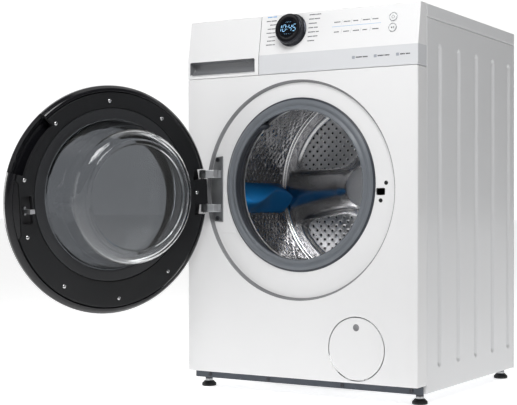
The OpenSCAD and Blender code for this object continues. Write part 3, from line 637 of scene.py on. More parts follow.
def front_sheet():
    """The pressed front: folded edges, the dish down to the mouth, the flap's hole and the lock's slot."""
    bm = bmesh.new()
    last = None
    for outline, depth in border(-HALF_W, HALF_W, FRONT_Z0, FRONT_Z1, 42):
        row = row_at(bm, outline, depth)
        if last:
            bridge(bm, last, row)
        last = row
    flat = [last]
    dish = [(249, 0), (245.2, 0), (243.6, 0.3), (242.3, 1.2), (241.3, 2.6), (240.4, 5.4), (239.6, 7.4),
            (238.2, 8.7), (236, 9), (231, 9)]
    rows = [row_at(bm, circle_points(0, DOOR_Z, r), d) for r, d in dish]
    flat.append(rows[0])
    mouth = [(195, 9), (191.3, 9), (189.7, 9.4), (188.5, 10.4), (188, 12), (188, 18)]
    rows += [row_at(bm, circle_points(0, DRUM_Z, r), d) for r, d in mouth]
    # rows 2 to 6 of the dish's wall take the third material, painted shade for the dark ring round the dish
    for i, (a, b) in enumerate(zip(rows, rows[1:])):
        bridge(bm, a, b, index=2 if 2 <= i <= 6 else 0)
    hole = [row_at(bm, circle_points(FLAP_X, FLAP_Z, r, 96), d)
            for r, d in ((70.8, 0), (70.1, 0), (69.6, 0.3), (69.5, 0.8), (69.5, 1.6))]
    flat.append(hole[0])
    for a, b in zip(hole, hole[1:]):
        bridge(bm, a, b)
    fill(bm, flat)
    obj = solidify(finish_mesh("front_sheet", bm, [white_front, hole_painted_shade, enamel_painted_shade], facing=(0, -1, 0)),
                   1.1)
    # the cutters give the lock slot's and screw holes' walls the painted shade
    slot = prism_y("slot_cutter", rect_points(194.5, 215.5, 445, 460, 2.5), 0, 20, [hole_painted_shade, white_front])
    holes = [prism_y("hole_cutter", circle_points(x, z, 3, 24), 0, 20, [hole_painted_shade, white_front])
             for x, z in LOCK_SCREWS]
    return cut(obj, slot, *holes)


piece(front_sheet(), "cabinet", "white_enamel", "front_panel", "mouth_plate")


def screw(name, x, z, d, r, material, cross=True):
    """A pan-head screw facing the front, with a cross recess."""
    head = lathe(name, [(0, d - 1.7), (r * 0.45, d - 1.6), (r * 0.8, d - 1.15), (r * 0.97, d - 0.5),
                        (r, d + 0.3)],
                 [material, hole_painted_shade], x, z, 40, False, facing=(0, -1, 0))
    if cross:
        solidify(head, 1.0)
        # the cross recess's walls take the painted shade
        arms = [prism_y("cross", rect_points(x - a, x + a, z - b, z + b, 0.1, 2), d - 3, d - 1.0, hole_painted_shade)
                for a, b in ((r * 0.5, r * 0.12), (r * 0.12, r * 0.5))]
        cut(head, *arms)
    return head


for i, (x, z) in enumerate(LOCK_SCREWS):
    piece(screw(f"lock_screw_{i + 1}", x, z, 9, 4.6, satin_black), "cabinet", "dark_plastic")

# raised pad of the sheet under the hinge plate
PAD_Z0 = 361
PAD_Z1 = 563
pad_out = left_arc(235, DOOR_Z, PAD_Z1 - 4, PAD_Z0 + 4, 40)
pad_in = left_arc(198, DRUM_Z, PAD_Z0 + 4, PAD_Z1 - 4, 40)
outline = [(pad_out[0][0] + 3, PAD_Z1), *pad_out, (pad_out[-1][0] + 3, PAD_Z0), (pad_in[0][0] - 3, PAD_Z0),
           *pad_in,
           (pad_in[-1][0] - 3, PAD_Z1)]
piece(bevel(prism_y("hinge_pad", outline, 8.1, 9.6, white_front), 0.6, 3), "cabinet", "white_enamel")


def side_sheet(side):
    """A side panel: folded edges and five pressed grooves with round ends."""
    bm = bmesh.new()
    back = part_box("right_side_panel")
    d0, d1 = 1000 * (back[0].y - FRONT_Y), 1000 * (back[1].y - FRONT_Y)
    z0, z1 = 1000 * back[0].z, 1000 * back[1].z
    last = None
    for inset, sink in ((0, 10), (0, 3.4), (0.3, 1.8), (1.0, 0.7), (2.0, 0.15), (3.2, 0), (5, 0)):
        row = add_loop(bm, [at(side * (HALF_W - sink), d, z)
                            for d, z in rect_points(d0 + inset, d1 - inset, z0 + inset, z1 - inset,
                                                    max(0.6, 3.5 - inset), 4)])
        if last:
            bridge(bm, last, row)
        last = row
    flat = [last]
    for i in range(5):
        centre = 106 + 99 * i
        last = None
        for half, sink in [(15.5, 0), (13.4, 0), (12.6, 0.1)] + [
                (h, 0.1 + 2.45 * (1 + math.cos(math.pi * h / 12)))
                                                                 for h in (11.6, 10.4, 9, 7.5, 6, 4.5, 3, 1.5,
                                                                           0.4)]:
            row = add_loop(bm, [at(side * (HALF_W - sink), d, z)
                                for d, z in stadium_points(centre, 73 + 12 - half, 772 - 12 + half, half,
                                                           14)])
            if last:
                bridge(bm, last, row)
            else:
                flat.append(row)
            last = row
        bm.faces.new(last)
    fill(bm, flat)
    # the sheet takes the side enamel, painted a little darker for shade
    return solidify(finish_mesh("side_sheet_" + ("right" if side > 0 else "left"), bm, [side_enamel_painted_shade],
                                facing=(side, 0, 0)), 1.1)


piece(side_sheet(1), "cabinet", "side_enamel", "right_side_panel")
piece(side_sheet(-1), "cabinet", "side_enamel", "left_side_panel")

# worktop: a laminate board held in a moulded frame
TOP_D0 = 42.5
TOP_D1 = 1000 * (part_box("worktop")[1].y - FRONT_Y)
# the frame is painted the darker grey of the shaded sides
frame_top = prism_z("worktop_frame", rect_points(-HALF_W, HALF_W, TOP_D0, TOP_D1, 4), WORKTOP_Z, BODY_H,
                    [frame_painted_shade])
bevel(frame_top, 2.6, 4, 50)
well = prism_z("well", rect_points(-HALF_W + 17, HALF_W - 17, TOP_D0 + 17, TOP_D1 - 17, 5), BODY_H - 3,
               BODY_H + 2,
               [frame_painted_shade])
piece(cut(frame_top, well), "cabinet", "worktop_laminate", "worktop")
board = prism_z("worktop_board", rect_points(-HALF_W + 17.5, HALF_W - 17.5, TOP_D0 + 17.5, TOP_D1 - 17.5,
                                             4.6),
                BODY_H - 3, BODY_H - 0.4, [top_board])
piece(bevel(board, 0.8, 3, 50), "cabinet", "worktop_laminate")


# ---------- control panel ----------

def lean_at(z):
    return (z - BREAK_Z) * math.tan(LEAN)


def panel_profile(back):
    low = FRONT_Z1 + 0.5
    return fillet([(back, low), (0, low), (0, BREAK_Z), (lean_at(BODY_H), BODY_H), (back, BODY_H)],
                  [0, 1.6, 8, 4, 0], 6)


def banded(obj, z, index=1):
    """Gives the faces below a height another of the object's materials."""
    for f in obj.data.polygons:
        if f.center.z < z * MM:
            f.material_index = index
    return obj


def split_at(obj, z):
    """Adds an edge all round an object at a height."""
    bm = bmesh.new()
    bm.from_mesh(obj.data)
    bmesh.ops.bisect_plane(bm, geom=bm.verts[:] + bm.edges[:] + bm.faces[:], plane_co=(0, 0, z * MM),
                           plane_no=(0, 0, 1))
    bm.to_mesh(obj.data)
    bm.free()
    return obj


fascia = prism_x("control_panel_shell", panel_profile(42), -99.9, HALF_W, [panel_white, band_grey])
bevel(fascia, 1.6, 4, 50)
hollow = prism_x("hollow", [(43, FRONT_Z1 + 3.5), (3, FRONT_Z1 + 3.5), (3, BREAK_Z),
                            (lean_at(BODY_H - 3) + 3, BODY_H - 3), (43, BODY_H - 3)], -97, HALF_W - 3,
                 [panel_white])
key_holes = [on_panel(turned("key_hole", [(0, -8), (9.9, -8), (9.9, 3), (0, 3)], [panel_white], 64), KEY_X, z)
             for z in (POWER_Z, START_Z)]
knob_hole = on_panel(turned("knob_hole", [(0, -8), (21, -8), (21, 3), (0, 3)], [panel_white], 96), KNOB_X,
                     PANEL_Z)
cut(fascia, hollow, *key_holes, knob_hole)
banded(split_at(fascia, BREAK_Z), BREAK_Z)
piece(fascia, "cabinet", "white_plastic", "control_fascia")

# panel behind the drawer, with the opening that the tray slides through
surround = prism_x("drawer_surround", [(24.8, FRONT_Z1 + 0.5), (42, FRONT_Z1 + 0.5), (42, BODY_H),
                                       (24.8, BODY_H)],
                   -HALF_W, -100.1, [panel_white])
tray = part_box("drawer_tray")
opening = prism_y("opening", rect_points(1000 * tray[0].x - 2, 1000 * tray[1].x + 2, 1000 * tray[0].z - 3,
                                         1000 * tray[1].z + 2, 3), 20, 50, [panel_white])
piece(cut(bevel(surround, 0.8, 2, 50), opening), "cabinet", "white_plastic")

# drawer front with its finger recess
drawer = prism_x("drawer_face", panel_profile(24), -HALF_W, -100.8, [panel_white, recess_painted_shade])
bevel(drawer, 1.4, 4, 50)
scoop = prism_x("scoop", fillet([(-3, 722), (-3, 755), (11, 755), (18, 751), (19, 742), (16, 733), (9, 725.5),
                                 (1, 722)], [0, 0, 3, 3, 5, 5, 4, 0], 4), -291, -111,
                [panel_white, recess_painted_shade])
bevel(scoop, 7, 6, 70)
# the sill keeps the white, the recess's other walls take the painted shade
dress(scoop, [panel_white, recess_painted_shade], lambda f: 0 if f.center.z < 0.7268 else 1)
# the drawer's end face at the seam takes the painted shade too
for f in drawer.data.polygons:
    if f.center.x > -0.1012 and f.normal.x > 0.9:
        f.material_index = 1
piece(cut(drawer, scoop), "drawer", "white_plastic", "drawer_front")

# touch strip and the printed marks
marks = []


def bar(x, z, width, height, index=0, skew=0.0):
    """One printed mark on the leaning face; positions are relative to the panel's middle mark line."""
    marks.append(([(x, z), (x + width, z), (x + width + skew, z + height), (x + skew, z + height)], index))


def words(x, z, lengths, height=2.1, index=0, gap=1.6):
    for length in lengths:
        step = 0
        while step < length - 0.5:
            w = min(2.3 if int(step * 7 + x) % 3 else 1.5, length - step)
            bar(x + step, z - height / 2, w, height, index)
            step += w + 0.55
        x += length + gap


LEFT_ROWS = ((13, 10), (11, 14), (17,), (9, 12), (14, 9), (19,), (12, 8), (16, 6))
for i, lengths in enumerate(LEFT_ROWS):
    total = sum(lengths) + 1.6 * (len(lengths) - 1)
    words(-62 - total + 3, 846 - PANEL_Z - i * 9.15, lengths, index=1 if i == 0 else 0)
RIGHT_ROWS = ((16, 12), (12, 14), (20,), (13, 9), (18, 8), (11, 12), (17,))
for i, lengths in enumerate(RIGHT_ROWS):
    words(26, 843 - PANEL_Z - i * 9.85, lengths)
for i, x in enumerate((90, 113.5, 137, 160.5, 184)):
    words(x + 1, 820.5 - PANEL_Z, ((15,), (16,), (13,), (17,), (14,))[i])
    words(x + 2, 798.5 - PANEL_Z, ((12,), (14,), (15,), (11,), (15,))[i])
    if i:
        for z in (794, 815):
            bar(x - 4.2, z - PANEL_Z, 0.35, 10, 2, 1.8)
bar(86, -0.6, 120, 0.55, 1)
printed = plates("panel_marks", marks, [print_grey, print_blue, line_pale], 0.0, 0.12)
piece(on_panel(printed, 0, PANEL_Z), "cabinet", "touch_print")
strip = plates("touch_strip", [(rect_points(-59, 59, -20, 20, 3), 0)], [panel_white], -1, 0.02)
piece(on_panel(strip, 147.5, 810), "cabinet", "touch_print", "touch_key_strip")

marks = []
for x0, x1 in ((140, 179), (193, 231), (246, 279)):
    marks.append((rect_points(x0, x0 + 7, -3.2, 3.2, 1.4, 3), 2))
    words(x0 + 9.5, 0, ((x1 - x0 - 9.5) * 0.52, (x1 - x0 - 9.5) * 0.4), 2.6)
badge = plates("band_marks", marks, [print_grey, print_blue, line_pale], 0.0, 0.12)
badge.data.transform(Matrix.Translation(at(0, 0, 740)) @ Matrix.Rotation(math.pi / 2, 4, "X"))
piece(badge, "cabinet", "touch_print")

# round keys: a thin ring round a flat face with its symbol
for name, body, z in (("power_key", "power", POWER_Z), ("start_key", "start", START_Z)):
    key = turned(name + "_button", [(0, -4), (9.5, -4), (9.5, 0.9), (9.2, 1.35), (8.7, 1.5), (8.1, 1.35),
                                    (7.9, 0.9),
                                    (7.6, 0.8), (0, 0.95)], [key_face, key_ring], 96,
                 [1, 1, 1, 1, 1, 1, 0, 0])
    piece(on_panel(key, KEY_X, z), body, "key_chrome", name)
arc = arc_points(0, 0, 3.6, math.radians(-235), math.radians(55), 24)
back_arc = [(x * 0.8, y * 0.8) for x, y in reversed(arc)]
sign = plates("power_sign", [(arc + back_arc, 0), (rect_points(-0.35, 0.35, 0.6, 4.4, 0.2, 2), 0)],
              [print_grey],
              0.85, 1.05)
piece(on_panel(sign, KEY_X, POWER_Z), "power", "key_chrome")
sign = plates("start_sign", [([(-3.6, -2.6), (0.2, 0), (-3.6, 2.6)], 0),
                             (rect_points(1.1, 1.9, -2.6, 2.6, 0.2, 2), 0),
                             (rect_points(3.0, 3.8, -2.6, 2.6, 0.2, 2), 0)], [print_grey], 0.85, 1.05)
piece(on_panel(sign, KEY_X, START_Z), "start", "key_chrome")


# programme knob with the round display in its middle
def fluted(r, h, a):
    return r - 0.45 * (0.5 + 0.5 * math.cos(60 * a)) if 4.5 < h < 16.5 and r > 30 else r


knob = turned("knob_ring", [(22.3, 0.4), (36.6, 0.4), (37, 0.9), (37, 2.2), (36.5, 3.1), (35.2, 3.7),
                            (34.4, 4.2),
                            (34.1, 5), (34.0, 6), (33.6, 15.6), (33.4, 17), (33.0, 18.2), (32.2, 19.1),
                            (31.2, 19.5),
                            (30.4, 19.4), (29.6, 19.0), (23.2, 18.9), (22.5, 19.1), (22.3, 18.6)],
              [knob_side, gloss_black], 480,
              [0, 0, 0, 0, 0, 0, 0, 0, 0, 0, 0, 0, 0, 1, 1, 1, 1, 1], fluted)
piece(on_panel(knob, KNOB_X, PANEL_Z), "knob", "knob_black", "program_knob")
screen = turned("knob_display", [(0, -8), (19.8, -8), (20, 12), (21.9, 12), (21.9, 18.8), (21.4, 19.3),
                                 (12, 19.42),
                                 (0, 19.45)], [smoke], 128)
piece(on_panel(screen, KNOB_X, PANEL_Z), "cabinet", "display_smoke", "display_window")

SEGMENTS = {"0": "abcdef", "1": "bc", "2": "abged", "3": "abgcd", "4": "fgbc", "5": "afgcd", "6": "afgedc",
            "7": "abc", "8": "abcdefg", "9": "abcdfg"}


def digit(char, x, y, w, h, t):
    """One seven-segment figure, slanted a little, as outlines."""
    places = {"a": (0.12, 1, 0.88, 1), "g": (0.12, 0.5, 0.88, 0.5), "d": (0.12, 0, 0.88, 0),
              "f": (0, 0.56, 0, 0.95), "b": (1, 0.56, 1, 0.95), "e": (0, 0.05, 0, 0.44),
              "c": (1, 0.05, 1, 0.44)}
    out = []
    for s in SEGMENTS[char]:
        x0, y0, x1, y1 = places[s]
        x0, x1, y0, y1 = x + x0 * w, x + x1 * w, y + y0 * h, y + y1 * h
        if y0 == y1:
            pts = [(x0, y0), (x0 + t / 2, y0 - t / 2), (x1 - t / 2, y0 - t / 2), (x1, y0),
                   (x1 - t / 2, y0 + t / 2),
                   (x0 + t / 2, y0 + t / 2)]
        else:
            pts = [(x0, y0), (x0 + t / 2, y0 + t / 2), (x0 + t / 2, y1 - t / 2), (x0, y1),
                   (x0 - t / 2, y1 - t / 2),
                   (x0 - t / 2, y0 + t / 2)]
        out.append(([(px + 0.12 * py, py) for px, py in pts], 0))
    return out


figures = []
for char, x in (("1", -24.0), ("0", -12.6), ("4", 2.6), ("5", 13.2)):
    figures += digit(char, x, -7.4, 7.2, 14.8, 1.05)
for y in (-2.6, 2.6):
    figures.append((circle_points(-1.7 + 0.12 * y, y, 0.85, 16), 0))
for x, w in ((-8, 2.2), (-3.6, 3.4), (2.2, 2.2), (6.8, 1.2)):
    figures.append((rect_points(x, x + w, -13.6, -13.3, 0.1, 2), 0))
for x, w in ((-6.5, 1.4), (-2.6, 4.2), (4.2, 1.8)):
    figures.append((rect_points(x, x + w, 13.3, 13.6, 0.1, 2), 0))
piece(on_panel(plates("display_figures", figures, [digit_blue], 19.4, 19.6), KNOB_X, PANEL_Z), "cabinet",
      "display_smoke")


# ---------- lower front and feet ----------

plinth = prism_y("plinth_cover", rect_points(-HALF_W + 1.5, HALF_W - 1.5, 23, 40, 2), 28, 31, [plinth_blue])
bevel(plinth, 0.9, 3, 50)
cut(plinth, *[prism_y("bore", circle_points(x, 30.5, 2.6, 32), 26, 33, [plinth_blue])
              for x in (-254, -93, 100, 268)])
piece(plinth, "cabinet", "plinth_plastic", "plinth_bar")

flap = lathe("flap_cover", [(0, 0.1), (64, 0.0), (66.0, 0.05), (66.9, 0.35), (67.4, 1.0), (67.4, 3), (0, 3)],
             [white_front], FLAP_X, FLAP_Z, 160)
notches = [prism_y("notch", rect_points(FLAP_X + s * 24.4 - 4.1, FLAP_X + s * 24.4 + 4.1, 40, 52.9, 0.5, 2),
                   -5, 10,
                   [white_front]) for s in (-1, 1)]
ball = bmesh.new()
bmesh.ops.create_uvsphere(ball, u_segments=64, v_segments=32, radius=0.0142,
                          matrix=Matrix.Translation(at(FLAP_X, -11.9, 161)))
# the sphere that presses the flap's dimple gives the dimple's faces the second material, painted shade
dress(flap, [white_front, enamel_painted_shade], lambda f: 0)
dimple = dress(finish_mesh("dimple", ball, [white_front]), [white_front, enamel_painted_shade], lambda f: 1)
cut(flap, *notches, dimple)
barrel = bmesh.new()
bmesh.ops.create_cone(barrel, cap_ends=True, segments=32, radius1=0.0015, radius2=0.0015, depth=0.038,
                      matrix=Matrix.Translation(at(FLAP_X, 1.5, 50)) @ Matrix.Rotation(math.pi / 2, 4, "Y"))
piece(flap, "flap", "white_enamel", "service_flap")
for i, x in enumerate((FLAP_X - 24.4, FLAP_X + 24.4)):
    piece(prism_y(f"flap_stop_{i + 1}", rect_points(x - 4.6, x + 4.6, 46, 55, 0.5, 2), 3.2, 4.2,
                  [white_front]), "cabinet",
          "white_enamel")
piece(finish_mesh("flap_barrel", barrel, [white_front]), "flap", "white_enamel")


def foot(name, body):
    """A levelling foot: ribbed rubber pad, hexagon nut and threaded stud."""
    low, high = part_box(name)
    cx, cy, top = 500 * (low.x + high.x), 500 * (low.y + high.y), 1000 * high.z
    r = 500 * (high.x - low.x)
    pad = [(0, 0), (r * 0.9, 0), (r * 0.97, 0.5), (r, 1.6), (r, 5.5), (r - 0.8, 6.8), (r - 3, 8.6),
           (12, 11.2),
           (10.6, 12), (0, 12)]
    obj = turned(name + "_pad", pad, [foot_black], 96, None,
                 lambda q, h, a: q - 0.5 * (0.5 + 0.5 * math.cos(36 * a)) if 1.5 < h < 5.6 and q > r - 1
                 else q)
    place = Matrix.Translation(Vector((cx, cy, 0)) * MM)
    obj.data.transform(place)
    piece(obj, body, "foot_rubber", name)
    rows = [(0, 11.9), (4.3, 11.9)]
    h = 12.4
    while h < top - 1:
        rows += [(4.3, h), (5.0, h + 0.4), (5.0, h + 0.6), (4.3, h + 1.0)]
        h += 1.25
    rows += [(4.3, top), (0, top)]
    stud = turned(name + "_stud", rows, [zinc], 40)
    stud.data.transform(place)
    piece(stud, body, "bright_steel")
    nut = turned(name + "_nut", [(5.2, 12), (9.4, 12), (9.8, 12.5), (9.8, 16.5), (9.4, 17), (5.2, 17)],
                 [zinc], 6,
                 sharp=20)
    nut.data.transform(place)
    piece(nut, body, "bright_steel")


for name, body in (("foot_front_left", "foot_fl"), ("foot_front_right", "foot_fr"),
                   ("foot_rear_left", "foot_rl"),
                   ("foot_rear_right", "foot_rr")):
    foot(name, body)


# ---------- seal, drum and lifters ----------

seal = [(193.2, 9.2), (192.6, 7.8), (190.5, 7.0), (188.6, 5.6), (186.8, 3.4), (184.6, 1.8), (182, 1.2),
        (179.6, 1.8),
        (177.4, 3.6), (175.2, 4.4), (173, 3.6), (171, 1.6), (169.2, 0.5), (167.4, 0.4), (165.8, 1.4),
        (165.2, 4.2),
        (165.4, 8), (168, 9.8),
        (171.5, 11.4), (175, 13.4), (176.2, 16), (176.2, 20), (175, 22.6), (172.4, 25), (171, 27.4),
        (171, 31.5),
        (172.6, 34), (175, 36.2), (176, 38.6), (177, 50), (179, 52), (182, 50), (182, 38), (181, 30),
        (181, 26),
        (187.6, 21), (188, 10)]
# the first three spans, at the gap against the mouth, and the inner wall past the lip take the painted shade;
# the lip between keeps the grey
seal_shade_spans = [1] * 3 + [0] * 12 + [1] * (len(seal) - 15)
piece(lathe("door_seal", seal, [seal_grey, seal_painted_shade], spans=seal_shade_spans), "cabinet", "seal_rubber", "bellows")

bump = bmesh.new()
bmesh.ops.create_uvsphere(bump, u_segments=40, v_segments=24, radius=0.011,
                          matrix=Matrix.Translation(at(-104, 20, DRUM_Z + 134)) @ Matrix.Diagonal((1.7, 1.5,
                                                                                                   0.8, 1)))
# the nozzle, inside the bellows, takes the same painted shade
piece(finish_mesh("seal_nozzle", bump, [seal_painted_shade]), "cabinet", "seal_rubber")

DRUM_D0 = 1000 * (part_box("drum_shell")[0].y - FRONT_Y)


def drum_skin():
    """The drum's wall, facing inwards: a rolled front lip, then a cylinder pressed into small drops."""
    bm = bmesh.new()
    n = 504
    rows = [(177, 1.6), (177.1, 0.6), (178, 0.1), (179.6, 0.2), (181, 1.2), (184, 4.4), (190, 5.2),
            (210, 5.8),
            (226, 6.8), (233, 9), (237, 12.5), (239.0, 18), (239.2, 22)]
    rows = [(r, DRUM_D0 + 0.1 + d, 0) for r, d in rows]
    first, last = DRUM_D0 + 25, 318
    steps = 150
    rows += [(239.2, first + (last - first) * k / steps, 1) for k in range(steps + 1)]
    rings = []
    for r, d, pearl in rows:
        ring = []
        for k in range(n):
            a = 2 * math.pi * k / n
            q = r
            if pearl:
                u, v = 56 * a, 2 * math.pi * (d - first) / 15
                wave = math.cos(u) * math.cos(v)
                wave += 0.7 * math.cos(34 * a + 0.9 * v + 1) * math.cos(0.37 * v - 9 * a)
                edge = min(1, (d - first) / 8, (last - d) / 8)
                q -= 0.75 * max(0, edge) * (wave + abs(wave))
            ring.append(bm.verts.new(at(q * math.cos(a), d, DRUM_Z + q * math.sin(a))))
        rings.append(ring)
    join_rings(bm, rings, False, [2] * 6 + [0] * 6 + [1] * (len(rings) - 12))
    obj = finish_mesh("drum_wall", bm, [drum_plain, drum_paint.m, drum_lip])
    for f in obj.data.polygons:
        f.flip()
    return obj


piece(drum_skin(), "drum", "drum_steel", "drum_shell")

ARMS = [math.radians(a) for a in (186, 66, -54)]
PETALS = [math.radians(a) for a in (126, 6, -114)]


def soft_min(a, b, k):
    """The smaller of two values, blended over a width k."""
    h = max(k - abs(a - b), 0) / k
    return min(a, b) - h * h * k / 4


def ease(t):
    """Goes from 0 to 1 with level ends."""
    t = max(0, min(1, t))
    return t * t * (3 - 2 * t)


HUB_D = 302.5


def apart(a, b):
    """The angle between two directions, 0 to pi."""
    return abs((a - b + math.pi) % (2 * math.pi) - math.pi)


def back_depth(r, a):
    """Depth of the drum's back wall, and how far a point is inside a recessed petal."""
    inside = -99
    for c in PETALS:
        s = 206 - r
        for side in (-1, 1):
            off = apart(a, c + side * math.pi / 3)
            across = r * math.sin(off) if off < math.pi / 2 else r
            s = soft_min(s, across - (42 + 0.085 * r), 40)
        if apart(a, c) < math.pi / 3:
            inside = max(inside, s)
    near = min(apart(a, arm) for arm in ARMS)
    across = r * math.sin(min(near, math.pi / 2)) / (46 + 0.085 * r)
    ridge = HUB_D + 4 * ease((r - 47) / 30) + 5 * ease((r - 60) / 160) + 11 * min(1, across) ** 2
    floor = HUB_D + 25 - 6 * ease((100 - r) / 60)
    t = ease((inside + 9) / 17)
    return ridge * (1 - t) + floor * t, inside


def drum_rear():
    """The drum's back: three raised arms between three sunk petals, and a rounded outer edge."""
    bm = bmesh.new()
    n = 360
    radii = [0, 12, 24, 34, 42, 46, 48, 50] + [52 + 3.15 * k for k in range(60)]
    radii = [r for r in radii if r < 239] + [239.2]
    rings = []
    for r in radii:
        ring = []
        for k in range(1 if r == 0 else n):
            a = 2 * math.pi * k / n
            d, _ = back_depth(r, a)
            if r > 219:
                d += (HUB_D + 20 - d) * ease((r - 219) / 9) - 7 * ease((r - 232) / 7.2)
            ring.append(bm.verts.new(at(r * math.cos(a), d, DRUM_Z + r * math.sin(a))))
        rings.append(ring)
    join_rings(bm, rings, False)
    for f in bm.faces:
        c = f.calc_center_median()
        x, z = c.x / MM, c.z / MM - DRUM_Z
        if back_depth(math.hypot(x, z), math.atan2(z, x))[1] > 7:
            f.material_index = 1
    return finish_mesh("drum_rear_wall", bm, [drum_plain, petal_paint.m], 60, facing=(0, -1, 0))


piece(drum_rear(), "drum", "drum_steel", "drum_back")
hub = lathe("drum_hub", [(0, HUB_D - 3), (20, HUB_D - 2.8), (36, HUB_D - 2.2), (43, HUB_D - 1.2),
                         (46.5, HUB_D + 0.6), (47.5, HUB_D + 4)], [hub_satin], n=128, closed=False,
            facing=(0, -1, 0))
piece(hub, "drum", "drum_steel")


def lifter(name, angle):
    """A hollow paddle whose crest swings from side to side along the drum."""
    bm = bmesh.new()
    steps, sides = 56, 28
    d0, d1 = DRUM_D0 + 27, 316
    rings = []
    for i in range(steps + 1):
        t = i / steps
        d = d0 + (d1 - d0) * t
        end = min(1.0, math.sqrt(max(0.0, 1 - (1 - min(t, 1 - t) / 0.11) ** 2)) if min(t, 1 - t) < 0.11
                  else 1.0)
        tall = (43 + 3 * math.sin(2 * math.pi * t)) * (0.16 + 0.84 * end)
        lean = 16 * math.sin(2 * math.pi * t + 0.5)
        half = 37 * (0.75 + 0.25 * end)
        ring = []
        for k in range(sides + 1):
            s = -1 + 2 * k / sides
            shape = 1 - abs(s) ** 1.4
            up = tall * shape
            v = half * s + lean * shape
            r = math.sqrt(max(0, 239.0 ** 2 - v * v)) - up
            ring.append(bm.verts.new(at(r * math.cos(angle) - v * math.sin(angle), d,
                                        DRUM_Z + r * math.sin(angle) + v * math.cos(angle))))
        rings.append(ring)
    for a, b in zip(rings, rings[1:]):
        bridge(bm, a, b, False)
    inward = (-math.cos(angle), 0, -math.sin(angle))
    for ring in (rings[0], rings[-1]):
        middle = bm.verts.new(sum((v.co for v in ring), Vector()) / len(ring))
        for a, b in zip(ring, ring[1:]):
            bm.faces.new((a, b, middle))
    return solidify(finish_mesh(name, bm, [blue], 50, facing=inward), 1.6)


for i, angle in enumerate(ARMS):
    obj = lifter(f"lifter_{i + 1}", angle)
    piece(obj, "drum", "lifter_blue", *(("lifters",) if i == 0 else ()))


# ---------- hinge ----------

plate_edge = [(max(x, -240), z) for x, z in left_arc(236, DOOR_Z, 388, 535, 24)]
plate_outline = [(-203, 386), *plate_edge, (-203, 537)]
plate = bevel(prism_y("hinge_base", plate_outline, 5.6, 8.9, [hinge_metal]), 1.1, 3, 50)
piece(plate, "cabinet", "hinge_casting", "hinge_plate")
for i, side in enumerate((-1, 1)):
    px = -242 + side * 39 * -0.021
    pd = -16 + side * 39 * -0.068
    arm_outline = fillet([(-207, 7), (-207, -7), (-213, -16), (px + 15, pd - 7.4), (px + 1, pd - 8),
                          (px - 7, pd - 4),
                          (px - 8, pd + 3), (px - 2, pd + 8), (px + 9, pd + 6.5), (-228, -8), (-225, -2),
                          (-225, 7)],
                         [1, 6, 8, 8, 6, 6, 6, 5, 6, 5, 4, 1], 5)
    z = DOOR_Z + side * 39
    piece(bevel(prism_z(f"hinge_arm_{i + 1}", arm_outline, z - 9, z + 9, [arm_metal]), 1.3, 3, 50), "cabinet",
          "hinge_casting")
for i, z in enumerate((529, 395)):
    piece(screw(f"hinge_screw_{i + 1}", -217, z, 5.6, 5.2, satin_black), "cabinet", "bright_steel")


# ---------- door, drawn closed and then swung open ----------

def pocket_cutters():
    """Shapes of the hinge's pocket and of the finger grip."""
    half = 39 + 9 + 4
    hinge_pocket = prism_y("hinge_pocket", rect_points(-262, -206, DOOR_Z - half, DOOR_Z + half, 3), -27, 9,
                           [matte_black])
    a0, a1 = math.radians(18), math.radians(51)
    outline = arc_points(0, DOOR_Z, 213.5, a0, a1, 32) + arc_points(0, DOOR_Z, 262, a1, a0, 32)
    grip = prism_y("grip", outline, -18.5, 9, [matte_black])
    return hinge_pocket, grip


def door_shell():
    """The gloss rim that the door's other parts sit in."""
    profile = fillet([(150, -31), (222, -31), (240, -28.5), (246, -18), (246, -9), (239.5, -1.6), (234, -1.2),
                      (231.8, -3), (231.8, -12), (237, -14), (237, -22), (226, -27.6), (150, -27.6)],
                     [1, 10, 9, 7, 6, 7, 1.5, 1, 1, 2, 4, 5, 1], 6)
    obj = lathe("door_rim", profile, [gloss_black, matte_black], z=DOOR_Z)
    return cut(obj, *[dress(c, [gloss_black, matte_black], lambda f: 1) for c in pocket_cutters()])


def door_plate():
    """The flat screw ring, the groove and the raised step round the glass."""
    outer = [(226, -12), (231, -12), (231, -1.6), (230.6, -0.6), (229.6, 0), (227, 0)]
    inner = [(190, 0), (187.6, 0), (187.1, -0.3), (186.9, -2.4), (185.3, -2.4), (185.1, -0.2), (184.6, 0.4),
             (183.6, 0.6), (181, 0.6), (166, 0.6), (163.4, 0.5), (162.4, -0.1), (162.1, -1.4), (162.1, -12)]
    rows = [(r, d, DOOR_Z) for r, d in outer] + [(r, d, DRUM_Z) for r, d in inner]
    spans = [0] * 10 + [1] * (len(rows) - 10)
    obj = lathe("door_plate", rows, [satin_black, step_black, matte_black], spans=spans)
    cutters = list(pocket_cutters())
    cutters.append(prism_y("hook_pocket", rect_points(191, 214, DOOR_Z - 32, DOOR_Z + 26, 4), -11, 9,
                           [matte_black]))
    land = prism_y("land_cutter", rect_points(217.5, 260, DOOR_Z - 62, DOOR_Z + 58, 10), -6, 9, [matte_black])
    cutters.append(land)
    return cut(obj, *[dress(c, [satin_black, step_black, matte_black], lambda f: 2) for c in cutters])


def door_land():
    """Glossy slope at the free edge, between the screw ring and the rim."""
    obj = lathe("door_slope", [(200, -1.0), (218, -1.4), (230, -3.2), (239, -6), (239, -11), (200, -11)],
                [gloss_black], z=DOOR_Z)
    keep = prism_y("keep", rect_points(218.2, 238, DOOR_Z - 61.3, DOOR_Z + 57.3, 3), -14, 5, [gloss_black])
    return bevel(cut(obj, keep, operation="INTERSECT"), 0.7, 2, 50)


